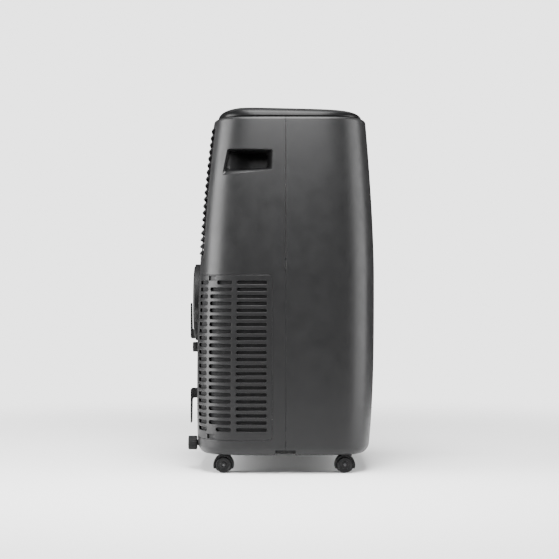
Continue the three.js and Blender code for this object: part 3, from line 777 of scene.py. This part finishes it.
def upper_louvres():
    """The panel's frame and ribs, with a row of slats in each bay."""
    bays, rib, side = 3, 5.0, 10.0
    u_edges = np.linspace(LOUVRE_U0 + side - rib / 2, LOUVRE_U1 - side + rib / 2, bays + 1)
    v0, v1 = LOUVRE_LOW[2] + 9, LOUVRE_HIGH[2] - 8
    holes = [rim(rectangle(a + rib / 2, b - rib / 2, v0, v1), 5.0, 0.7, spacing=5.0)
             for a, b in zip(u_edges, u_edges[1:])]
    build = sheet(wrap_rear, louvre_rim(0, -0.7), holes, us=lattice(LOUVRE_U0, LOUVRE_U1, 6.0),
                  vs=lattice(LOUVRE_LOW[2], LOUVRE_HIGH[2], 8.0))
    for a, b in zip(u_edges, u_edges[1:]):
        for v in np.arange(v0 + 1.5, v1 - 2.5, SLOT_PITCH):
            slat(build, a + rib / 2 - 0.8, b - rib / 2 + 0.8, v)
    build.piece("louvre_panel", "grille", "upper_filter", "grille", "upper_filter_grille", sharp=40,
                weighted=True)


def upper_mesh():
    low, high = box_mm("upper_filter_mesh")
    u0, u1 = u_at_end(low[0]), u_at_end(high[0])
    border = rim(rectangle(u0, u1, low[2], high[2]), 8.0, -0.3, 1.2)
    build = sheet(wrap_filter, border, us=lattice(u0, u1, 8.0), vs=lattice(low[2], high[2], 12.0))
    build.piece("louvre_filter", "mesh", "upper_filter", "filter_mesh", "upper_filter_mesh")


# --- top plane
CAP_INSET, CAP_TOP, CAP_TILT, CAP_ROUND, CAP_POWER = 7.5, 700.0, 0.0245, 27.0, 2.6
RIDGE_Y, REAR_FALL = 88.0, 0.05
HINGE_Y = 84.0                 # from the seam plane, like every y but the panel's
HINGE_DROP = 4.0               # of the hinge line below the top
FLAP_HALF, FLAP_FRONT = 149.6, -35.9
PANEL_HALF, PANEL_FRONT, PANEL_REAR = 96.0, -196.0, -134.0      # y from the hinge line
PANEL_GAP = 0.4
TILT_ANGLE = math.atan(CAP_TILT)


def cap_height(y):
    return np.where(y < RIDGE_Y, CAP_TOP - (RIDGE_Y - y) * CAP_TILT, CAP_TOP - (y - RIDGE_Y) * REAR_FALL)


def on_top(x, y, z):
    """A point of the tilted top plane, with y from the hinge line and z above the plane."""
    c, s = math.cos(TILT_ANGLE), math.sin(TILT_ANGLE)
    lift = float(cap_height(HINGE_Y))
    y, z = np.asarray(y), np.asarray(z)
    return at(x, y * c - z * s + HINGE_Y, y * s + z * c + lift)


def wrap_top(height):
    return lambda points, depth: on_top(points[:, 0], points[:, 1], height - np.asarray(depth))


def wrap_cap(points, depth):
    x, y = points[:, 0], points[:, 1]
    return at(x, y, cap_height(y) - depth)


def mouth_corners(grow=0.0):
    """The air outlet's rectangle: the flap's leaf with room to turn round it."""
    side = FLAP_HALF + 1.0 + grow
    return rectangle(-side, side, FLAP_FRONT - 0.7 - grow, HINGE_Y + 4.4 + grow)


def plan_ring(inset):
    """The plan outline at the casing's top, at one inset, anticlockwise."""
    picks = np.linspace(0, len(OUTLINE_U) - 1, 97).astype(int)[:-1]
    x = OUTLINE_X[picks] * (half_width(TOP) - inset)
    rear = np.stack([-x, OUTLINE_Y[picks] * (half_rear(TOP) - inset)], axis=1)
    front = np.stack([x, -OUTLINE_Y[picks] * (half_front(TOP) - inset)], axis=1)
    return np.concatenate([rear, front])


def cap_row(t, drop=0.0, inward=0.0):
    """One level of the cap's rounded shoulder: t is 0 at its foot and 1 at its flat top."""
    ring = plan_ring(CAP_INSET + inward + CAP_ROUND * (1 - math.sqrt(1 - t ** CAP_POWER)))
    foot = TOP + SEAM_GAP
    return at(ring[:, 0], ring[:, 1], foot + (cap_height(ring[:, 1]) - drop - foot) * t)


def top_cover():
    thickness = 2.6
    border = [(plan_ring(CAP_INSET + CAP_ROUND), 0.0),
              (plan_ring(CAP_INSET + CAP_ROUND + thickness * 0.4), thickness)]
    mouth = rim(mouth_corners(), 0.8, 0.4, thickness, 8.0)
    side = PANEL_HALF + PANEL_GAP
    front, rear = HINGE_Y + PANEL_FRONT - PANEL_GAP, HINGE_Y + PANEL_REAR + PANEL_GAP
    seat = rim(rectangle(-side, side, front, rear), 2.0, 0.4, thickness, 8.0)
    build, outer_row, inner_row = sheet(wrap_cap, border, [mouth, seat], us=lattice(-170, 170, 12),
                                        vs=lattice(-110, 110, 10), margin=3.0, open_border=True)
    levels = np.sin(np.linspace(math.pi / 2, 0, 15)) ** (2 / CAP_POWER)
    rows = [outer_row]
    rows.extend(build.add(cap_row(t)) for t in levels[1:])
    rows.extend(build.add(cap_row(t, thickness, thickness)) for t in levels[:0:-1])
    rows.append(inner_row)
    build.chain(rows)
    build.piece("cover_shell", "cover", "cabinet", "cover", "top_cover", weighted=True)


def cover_collar():
    """A frame under the cover's mouth that leads the air up to it."""
    inside = rounded_polygon(mouth_corners(0.2), 0.8)
    outside = rounded_polygon(mouth_corners(0.2), 0.8, 3.0)
    bottom = 19.6
    levels = [(inside, 2.0), (inside, bottom - 0.6), (inside + (outside - inside) * 0.2, bottom),
              (outside, bottom), (outside, 2.0)]
    rows = [wrap_cap(loop, depth) for loop, depth in levels]
    collar = Builder()
    collar.loft(rows + rows[:1])
    collar.piece("cover_collar", "black", "cabinet", "cover", sharp=40)


# --- simple solids
def extrude_x(name, outline, x0, x1, look, bevel, place=at):
    """A profile of (y, z) points drawn along X, with softened edges."""
    y, z = np.array(outline, dtype=float).T
    build = Builder()
    build.loft([place(x, y, z) for x in (x0, x1)], cap_start=True, cap_end=True)
    obj = build.make(name, LOOK[look], 35)
    soften(obj, bevel)
    return obj


def soften(obj, width):
    modifier = obj.modifiers.new("bevel", "BEVEL")
    modifier.width = width * MM
    modifier.segments = 3
    modifier.limit_method = "ANGLE"
    modifier.angle_limit = math.radians(35)
    weigh_normals(obj)


def arc(centre_y, centre_z, radius, start, end, steps=24):
    """Points of an arc in a side view, between two angles in degrees."""
    turn = np.radians(np.linspace(start, end, steps))
    return [(centre_y + radius * math.cos(a), centre_z + radius * math.sin(a)) for a in turn]


def turned(build, profile, place, sides=48, ripple=None):
    """A body of revolution from (radius, height) pairs; place(a, b, height) sets it in the machine."""
    turn = np.linspace(0, 2 * math.pi, sides, endpoint=False)
    rows = []
    for radius, height in profile:
        wave = ripple(turn, radius) if ripple else radius
        rows.append(place(wave * np.cos(turn), wave * np.sin(turn), height))
    closed = profile[0] == profile[-1]
    build.loft(rows, cap_start=not closed, cap_end=not closed)


def rear_ring(x, z, profile, sides):
    """A ring on the rear face, from (radius, y) pairs; y None lies just outside the casing's face."""
    rows = []
    for radius, y in profile:
        ring_x, ring_z = circle(x, z, radius, sides).T
        rows.append(at(ring_x, rear_face(ring_x, ring_z) + FOOT_GAP if y is None else y, ring_z))
    build = Builder()
    build.loft(rows + rows[:1])
    return build


# --- top fittings
def outlet_flap():
    """A leaf that tapers from its knuckle to its front edge, with a pin at each end."""
    front = -HINGE_Y + FLAP_FRONT
    points = [(front, 0.2), *arc(0, -HINGE_DROP, 3.6, 90, -90, 14), (-5, -5.0), (front + 8, -3.2),
              (front, -2.2)]
    obj = extrude_x("flap_leaf", points, -FLAP_HALF, FLAP_HALF, "cover", 0.5, on_top)
    finish_piece(obj, "flap", "cover", "outlet_flap")
    build = Builder()
    for side in (-1, 1):
        profile = [(2.1, FLAP_HALF - 2), (2.1, FLAP_HALF + 4.2), (1.7, FLAP_HALF + 4.6)]
        turned(build, profile, lambda a, b, h, side=side: on_top(side * h, a, b - HINGE_DROP), 20)
    build.piece("flap_pins", "black", "flap", "cover", sharp=35)


BUTTONS = ["power", "mode", "fan", "timer", "swing"]
BUTTON_PITCH, BUTTON_Y, BUTTON_R = 32.0, -176.0, 8.0
WINDOW_HALF, WINDOW_FRONT, WINDOW_REAR = 34.0, -164.0, -142.0


def button_x(index):
    return BUTTON_PITCH * (index - (len(BUTTONS) - 1) / 2)


def window_corners(gap=0.0):
    side = WINDOW_HALF + gap
    return rectangle(-side, side, WINDOW_FRONT - gap, WINDOW_REAR + gap)


def control_panel():
    """The panel's plate, with wells for the buttons and the window, over a closed floor."""
    corners = rectangle(-PANEL_HALF, PANEL_HALF, PANEL_FRONT, PANEL_REAR)
    thickness = 2.4
    window = rim(window_corners(PANEL_GAP), 2.0, 0.4, thickness, 8.0)
    wells = [round_rim(button_x(index), BUTTON_Y, BUTTON_R + 0.5, 0.6, thickness, 36)
             for index in range(len(BUTTONS))]
    build = sheet(wrap_top(0.6), rim(corners, 2.0, -0.5, thickness, 8.0), [window, *wells],
                  us=lattice(-PANEL_HALF, PANEL_HALF, 8), vs=lattice(PANEL_FRONT, PANEL_REAR, 8))
    side = PANEL_HALF - 0.6
    corners = rectangle(-side, side, PANEL_FRONT + 0.6, PANEL_REAR - 0.6)
    floor = sheet(wrap_top(-3.0), rim(corners, 2.0, -0.3, 2.0, 8.0))
    build.piece("panel_plate", "black", "cabinet", "black_plastic", "control_panel")
    floor.piece("panel_floor", "black", "cabinet", "black_plastic")


def display():
    build = sheet(wrap_top(0.9), rim(window_corners(), 1.8, -0.4, 3.2, 8.0))
    build.piece("display_lens", "window", "cabinet", "display", "display_window")
    digits = Builder()
    for centre, lit in ((-6.5, "abged"), (6.5, "bcfg")):
        for segment in lit:
            seven_segment(digits, centre, -153.0, segment)
    digits.piece("display_digits", "indicator", "cabinet", "display")


def seven_segment(build, x, y, segment):
    """One bar of a seven-segment digit 8 mm wide and 13 mm high."""
    places = {"a": (0, 6, 0), "g": (0, 0, 0), "d": (0, -6, 0), "b": (3.6, 3, 1), "c": (3.6, -3, 1),
              "f": (-3.6, 3, 1), "e": (-3.6, -3, 1)}
    dx, dy, upright = places[segment]
    half, thin = 2.6, 0.65
    bar = np.array([(-half, 0), (-half + thin, -thin), (half - thin, -thin), (half, 0),
                    (half - thin, thin), (-half + thin, thin)])
    if upright:
        bar = bar[:, ::-1] * (1, -1)
    bar = bar + (x + dx, y + dy)
    rows = [on_top(bar[:, 0], bar[:, 1], z) for z in (0.8, 1.0)]
    build.loft(rows, cap_start=True, cap_end=True)


def buttons():
    """Round keys with a softly dished top."""
    r = BUTTON_R
    profile = [(r - 1.2, -1.6), (r - 0.1, -1.2), (r, 0.6), (r - 0.2, 1.1), (r - 0.7, 1.38), (r - 1.4, 1.4),
               (4.5, 1.05), (2.2, 0.86), (0.3, 0.8)]
    for index, name in enumerate(BUTTONS):
        build = Builder()
        x = button_x(index)
        turned(build, profile, lambda a, b, height, x=x: on_top(x + a, BUTTON_Y + b, height), 48)
        node = f"{name}_button"
        build.piece(f"{name}_key", "button", node, "button", node, sharp=50)


# --- handles
CUP_WALL = 1.8


def wrap_cup_floor(points, depth):
    """The pocket's floor: near the wall at its rear end, and sweeping in to its deepest at the front."""
    y, z = points[:, 0], points[:, 1]
    surface = half_width(z) * (1 - (y / half_rear(z)) ** EXPONENT) ** (1 / EXPONENT)
    t = np.clip((128 - y) / 66, 0, 1)
    sunk = 12 + 35 * t * t * (3 - 2 * t)
    return at(sunk - surface + depth, y, z)


def cup_lip(count):
    """Rows of the pocket's collar: up its inside, over the lip behind the casing and down its outside."""
    front, rear = HANDLE_Y
    low, high = HANDLE_Z
    corners = [(front - 1, low - 1), (rear - 1, low - 6.5), (rear - 6.5, high + 3), (front - 1, high + 1)]
    mouth = [(u_at_side(y), z) for y, z in corners]
    inner, outer = (resample_to(rounded_polygon(mouth, 5.0, grow), count) for grow in (0.0, CUP_WALL))
    lip, foot = WALL + 3.9, WALL + 6.0
    levels = ((inner, foot), (inner, lip), (outer, lip), (outer, foot))
    return [wrap_rear(loop, depth) for loop, depth in levels]


def handle_cup(side):
    """A pocket behind the opening: a floor that sweeps in, and a collar that joins it to the casing."""
    front, rear = HANDLE_Y
    low, high = HANDLE_Z
    corners = [(front + 4, low + 4), (rear - 8, low), (rear - 12, high - 3), (front + 4, high - 4)]
    outline = resample(rounded_polygon(corners, 7.0), 5.0)
    build, inner_row, outer_row = sheet(wrap_cup_floor, [(outline, 0.0), (outline, CUP_WALL)],
                                        us=lattice(front + 4, rear - 6, 6.0), vs=lattice(low, high - 3, 6.0),
                                        open_border=True)
    build.chain([inner_row, *(build.add(row) for row in cup_lip(len(outline))), outer_row])
    if side > 0:
        build.vertices = [(-x, y, z) for x, y, z in build.vertices]
    name = hand_name(side)
    build.piece(f"cup_{name}", "black", "cabinet", "black_plastic", f"handle_cup_{name}", sharp=60,
                weighted=True)


def resample_to(loop, count):
    """The same closed outline with a given number of points, evenly spaced from its first."""
    closed = np.concatenate([loop, loop[:1]])
    run = np.concatenate([[0], np.cumsum(np.linalg.norm(np.diff(closed, axis=0), axis=1))])
    marks = np.linspace(0, run[-1], count, endpoint=False)
    return np.stack([np.interp(marks, run, closed[:, k]) for k in (0, 1)], axis=1)


# --- rear fittings
def exhaust_flange():
    x, _, z = middle_of("exhaust_flange")
    face = box_mm("exhaust_flange")[1][1] - SEAM_Y
    step = face - 2.5
    inner_end = face - 32
    outer, lip, bore = 77.0, 73.0, 62.0
    profile = [(outer, None), (outer, step - 0.8), (outer - 0.8, step), (lip + 0.4, step), (lip, step + 0.4),
               (lip, face - 0.7), (lip - 0.7, face), (bore + 1.4, face), (bore + 0.5, face - 0.4),
               (bore, face - 1.4), (bore, inner_end), (bore + 3.3, inner_end), (bore + 3.3, None)]
    rear_ring(x, z, profile, 120).piece("exhaust_collar", "black", "cabinet", "black_plastic",
                                        "exhaust_flange", sharp=35, weighted=True)


def cord_gland():
    x, _, z = middle_of("cord_gland")
    face = box_mm("cord_gland")[1][1] - SEAM_Y
    outer, bore, sleeve = 12.5, 4.2, 6.8
    profile = [(outer, None), (outer, face - 0.8), (outer - 0.8, face), (8.4, face), (7.8, face - 0.7),
               (5.2, face - 0.7), (bore + 0.3, face - 1.2), (bore, face - 2), (bore, face - 15),
               (sleeve, face - 15), (sleeve, None)]
    rear_ring(x, z, profile, 64).piece("gland_bush", "rubber", "cabinet", "rubber", "cord_gland", sharp=35)


def pad(build, outline, face, edge=0.8):
    """A plate standing on the rear face, from an (x, z) outline with a rounded front edge."""
    centre = outline.mean(axis=0)
    x, z = outline.T
    rows = [at(x, rear_face(x, z) + FOOT_GAP, z)]
    reach = np.linalg.norm(outline - centre, axis=1).reshape(-1, 1)
    for angle in np.radians(np.linspace(0, 90, 5)):
        inward = outline - (outline - centre) / reach * edge * (1 - math.cos(angle))
        rows.append(at(inward[:, 0], face - edge * (1 - math.sin(angle)), inward[:, 1]))
    build.loft(rows, cap_start=True, cap_end=True)


HOOK_X, HOOK_REACH, HOOK_ARM = 120.0, 198.5, 3.0
HOOKS = {                      # heights of each hook's foot, of its arm's root and of its tip
    "upper": ((245, 305), (247, 264), 322),
    "lower": ((107, 151), (143, 123), 70),
}


def cord_hooks():
    reach = HOOK_REACH
    for name, (foot, (root, end), tip) in HOOKS.items():
        up = 1 if tip > root else -1
        build = Builder()
        corners = rectangle(HOOK_X - 15, HOOK_X + 15, *foot)
        pad(build, resample(rounded_polygon(corners, 4.0), 5.0), 178.0)
        build.piece(f"{name}_hook_foot", "black", "cabinet", "black_plastic", f"{name}_cord_hook", sharp=35)
        inside = reach - 4.2
        bend = [(inside - 5 + 5 * math.sin(a), end + up * (5 - 5 * math.cos(a)))
                for a in np.radians(np.linspace(0, 90, 6))]
        outline = [(176, root), (reach - 3, root), (reach - 0.8, root + up * 1.6), (reach, root + up * 5),
                   (reach, tip - up * 1.5), (reach - 1.5, tip), (reach - HOOK_ARM, tip - up), *bend[::-1],
                   (176, end)]
        arm = extrude_x(f"{name}_hook_arm", outline, HOOK_X - 10, HOOK_X + 10, "black", 0.7)
        finish_piece(arm, "cabinet", "black_plastic")


RIDGES = 22


def knob(node, radius, face, look, slot):
    """A ridged cap on a threaded stub, seated on the rear face."""
    x, _, z = middle_of(node)
    inner = max(abs(x) - radius, 0)
    seat = max(rear_face(inner, z - radius), rear_face(inner, z + radius)) + 0.35

    def ripple(turn, r):
        depth = 0.045 * r if r > radius * 0.93 else 0.0
        return r - depth * (0.5 + 0.5 * np.cos(RIDGES * turn)) ** 2

    def place(a, b, height):
        return at(x + a, height, z + b)

    profile = [(radius * 0.45, seat), (radius - 0.8, seat), (radius - 0.1, seat + 0.6), (radius, seat + 1.2),
               (radius, face - 1.6), (radius - 0.3, face - 0.7), (radius - 1.3, face),
               (radius * 0.72, face), (radius * 0.66, face - 0.8), (radius * 0.3, face - 0.9),
               (0.4, face - 0.9)]
    build = Builder()
    turned(build, profile, place, RIDGES * 8, ripple)
    turned(build, [(5.4, seat - 9), (5.8, seat - 8.4), (5.8, seat + 0.8)], place, 32)
    build.piece(f"{node}_knob", look, node, slot, node, sharp=50)


def knobs():
    knob("upper_drain_cap", 14.5, 187.5, "black", "black_plastic")
    knob("middle_drain_plug", 10.0, 187.5, "rubber", "rubber")
    knob("lower_drain_cap", 13.5, 190.0, "black", "black_plastic")


# --- casters
WHEEL_R, HOOD_R = 15.3, 19.75
TRAIL = 3.0                    # how far the stem stands in front of the axle


def hood_arc(y, radius, lowest, steps):
    """An arc over the axle that starts and ends at one height above the floor."""
    cut = math.degrees(math.asin((WHEEL_R - lowest) / radius))
    return arc(y, WHEEL_R, radius, -cut, 180 + cut, steps)


def caster(corner):
    """A hood over two wheels, with the web between them, the stem and the axle."""
    body = f"caster_{corner}"
    low, high = box_mm(body)
    x = (low[0] + high[0]) / 2
    y = middle_of(f"wheel_{corner}_a")[1]
    half = (high[0] - low[0]) / 2
    arch = [*hood_arc(y, HOOD_R, 8.6, 44), *hood_arc(y, WHEEL_R + 1.2, 8.6, 44)[::-1]]
    hood = extrude_x(f"{corner}_hood", arch, x - half, x + half, "black", 1.1)
    finish_piece(hood, body, "black_plastic", body)
    web = extrude_x(f"{corner}_web", hood_arc(y, WHEEL_R + 2, 3.0, 40), x - 2, x + 2, "black", 0.5)
    finish_piece(web, body, "black_plastic")
    stem = Builder()
    turned(stem, [(10.2, 31), (11, 31.6), (11, 37.6), (10.4, 38.3), (5, 38.4), (5, 48.4), (4.4, 49)],
           lambda a, b, height: at(x + a, y - TRAIL + b, height), 40)
    stem.piece(f"{corner}_stem", "black", body, "black_plastic", sharp=35)
    axle = Builder()
    reach = half - 1.6
    turned(axle, [(2.1, -reach), (2.5, -reach + 0.4), (2.5, reach - 0.4), (2.1, reach)],
           lambda a, b, height: at(x + height, y + a, WHEEL_R + b), 24)
    axle.piece(f"{corner}_axle", "steel", body, "black_plastic", sharp=35)
    for letter in "ab":
        wheel(f"wheel_{corner}_{letter}", x)


def wheel(node, caster_x):
    """A wheel with a rounded tread, and a dished hub with a raised boss on its outer side."""
    low, high = box_mm(node)
    x, y, _ = middle_of(node)
    outward = 1 if x > caster_x else -1
    start = low[0] if outward > 0 else high[0]
    width = high[0] - low[0]
    r = WHEEL_R
    bore = 3.05
    profile = [(bore, 0), (r - 1.6, 0), (r - 0.6, 0.4), (r - 0.15, 1.2), (r, 2.4), (r, width - 2.4),
               (r - 0.15, width - 1.2), (r - 0.7, width - 0.35), (r - 1.7, width), (r - 3.2, width),
               (r - 3.9, width - 0.7), (r - 4.4, width - 1.3), (7.0, width - 1.5), (6.4, width - 0.9),
               (5.8, width - 0.4), (bore + 0.6, width - 0.4), (bore, width - 0.9), (bore, 0)]

    def place(a, b, height):
        return at(start + outward * height, y + a, r + b)

    build = Builder()
    turned(build, profile, place, 72)
    for angle in np.arange(6) * math.pi / 3:
        build.loft(spoke_rows(angle, width, place), cap_start=True, cap_end=True)
    build.piece(f"{node}_tread", "wheel", node, "wheel", node, sharp=40)


def spoke_rows(angle, width, place):
    """The two ends of one low spoke, from the hub's boss to its rim."""
    rows = []
    for radius, half in ((6.6, 1.0), (WHEEL_R - 4.1, 0.8)):
        offset = half * np.array([-1, -0.8, 0.8, 1])
        height = width - np.array([1.7, 0.75, 0.75, 1.7])
        a = radius * math.cos(angle) - offset * math.sin(angle)
        b = radius * math.sin(angle) + offset * math.cos(angle)
        rows.append(place(a, b, height))
    return rows


# --- CAD pieces shown as they are
INNER_LOOKS = {
    # painted shade: the lower fan scroll gets the black look so the exhaust bore in front of it reads dark
    "black": ["base_pan", "lower_fan_scroll"],
    "inner": ["electrics_box"],
    "foam": ["partition_deck", "upper_fan_scroll"],
    "fan": ["evaporator_fan", "condenser_fan", "vane_1", "vane_2", "vane_3", "vane_4", "vane_link"],
    "copper": ["discharge_pipe", "suction_pipe"],
    "fins": ["evaporator_coil", "condenser_coil"],
    "steel": ["compressor", "upper_fan_motor", "lower_fan_motor", "flap_motor"],
}


def paint_inner():
    for look, names in INNER_LOOKS.items():
        for name in names:
            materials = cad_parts[name].data.materials
            materials.clear()
            materials.append(LOOK[look])


# --- stage, light and camera
FLOOR_RADIUS, FADE_START, FADE_END = 4.0, 0.45, 2.0      # in metres


def stage():
    """A pale floor that fades into the backdrop's white away from the machine."""
    build = Builder()
    disc = circle(0, 0, 1, 96)
    rows = [np.pad(disc * radius, ((0, 0), (0, 1))) for radius in (0.02, 0.5, 1.5, FLOOR_RADIUS)]
    build.loft(rows, cap_start=True)
    look = Look("floor")
    look.vary("Base Color", look.noise(1.2), grey(0.9), grey(0.93))
    look.set("Roughness", 0.9)
    look.set("Specular IOR Level", 0.1)
    distance = look.node("VectorMath")
    distance.operation = "LENGTH"
    look.link(look.place, distance.inputs[0])
    fade = look.node("MapRange", from_min=FADE_START, from_max=FADE_END, to_min=1.0, to_max=0.0)
    fade.interpolation_type = "SMOOTHERSTEP"
    look.link(distance.outputs["Value"], fade.inputs["Value"])
    look.link(fade.outputs["Result"], look.shader.inputs["Alpha"])
    build.make("floor", look.material)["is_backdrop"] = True


def area_light(name, position, target, size, power):
    light = bpy.data.lights.new(name, "AREA")
    light.shape = "RECTANGLE"
    light.size, light.size_y = size
    light.energy = power
    obj = bpy.data.objects.new(name, light)
    obj.location = position
    direction = Vector(target) - Vector(position)
    obj.rotation_euler = direction.to_track_quat("-Z", "Y").to_euler()
    bpy.context.scene.collection.objects.link(obj)


WORLD_GLOW, BACKDROP_GLOW = 0.06, 3.0


def lighting():
    """Softboxes at the rear, front and top, and a backdrop that only the camera sees as white."""
    middle = (0, 0, 0.36)
    area_light("rear_softbox", (-0.38, 2.15, 0.6), middle, (1.9, 2.2), 215)
    area_light("front_softbox", (-0.38, -2.15, 0.6), middle, (1.9, 2.2), 110)
    area_light("top_softbox", (-0.7, 0, 1.25), (-0.15, 0, 0.5), (0.5, 1.1), 42)
    area_light("far_fill", (1.4, 0, 2.6), (0, 0, 0.4), (2.0, 2.0), 8)
    area_light("overhead", (-0.4, 0, 3.0), (-0.1, 0, 0), (1.5, 1.8), 80)
    world = bpy.data.worlds.new("studio")
    bpy.context.scene.world = world
    world.use_nodes = True
    tree = world.node_tree
    background = tree.nodes["Background"]
    background.inputs["Color"].default_value = (1, 1, 1, 1)
    path = tree.nodes.new("ShaderNodeLightPath")
    level = tree.nodes.new("ShaderNodeMapRange")
    level.inputs["To Min"].default_value = WORLD_GLOW
    level.inputs["To Max"].default_value = BACKDROP_GLOW
    tree.links.new(path.outputs["Is Camera Ray"], level.inputs["Value"])
    tree.links.new(level.outputs["Result"], background.inputs["Strength"])


CAMERA_PLACE = (-3.2, 0, 0.3575)
LENS, SENSOR, SHIFT = 101.7, 36, 0.0113


def camera():
    """A long lens square to the machine's left side, at half its height."""
    data = bpy.data.cameras.new("camera")
    data.lens = LENS
    data.sensor_width = SENSOR
    data.shift_y = SHIFT
    obj = bpy.data.objects.new("camera", data)
    obj.location = CAMERA_PLACE
    obj.rotation_euler = (math.pi / 2, 0, -math.pi / 2)
    bpy.context.scene.collection.objects.link(obj)
    bpy.context.scene.camera = obj


camera()
lighting()
stage()
front_housing()
rear_housing()
for hand in (-1, 1):
    side_grille(hand)
    side_filter(hand)
    handle_cup(hand)
upper_louvres()
upper_mesh()
top_cover()
cover_collar()
outlet_flap()
control_panel()
display()
buttons()
exhaust_flange()
cord_hooks()
knobs()
cord_gland()
for corner in ("front_left", "front_right", "rear_left", "rear_right"):
    caster(corner)
paint_inner()

[[list(corner) for corner in box] for box in (cad_box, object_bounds())]
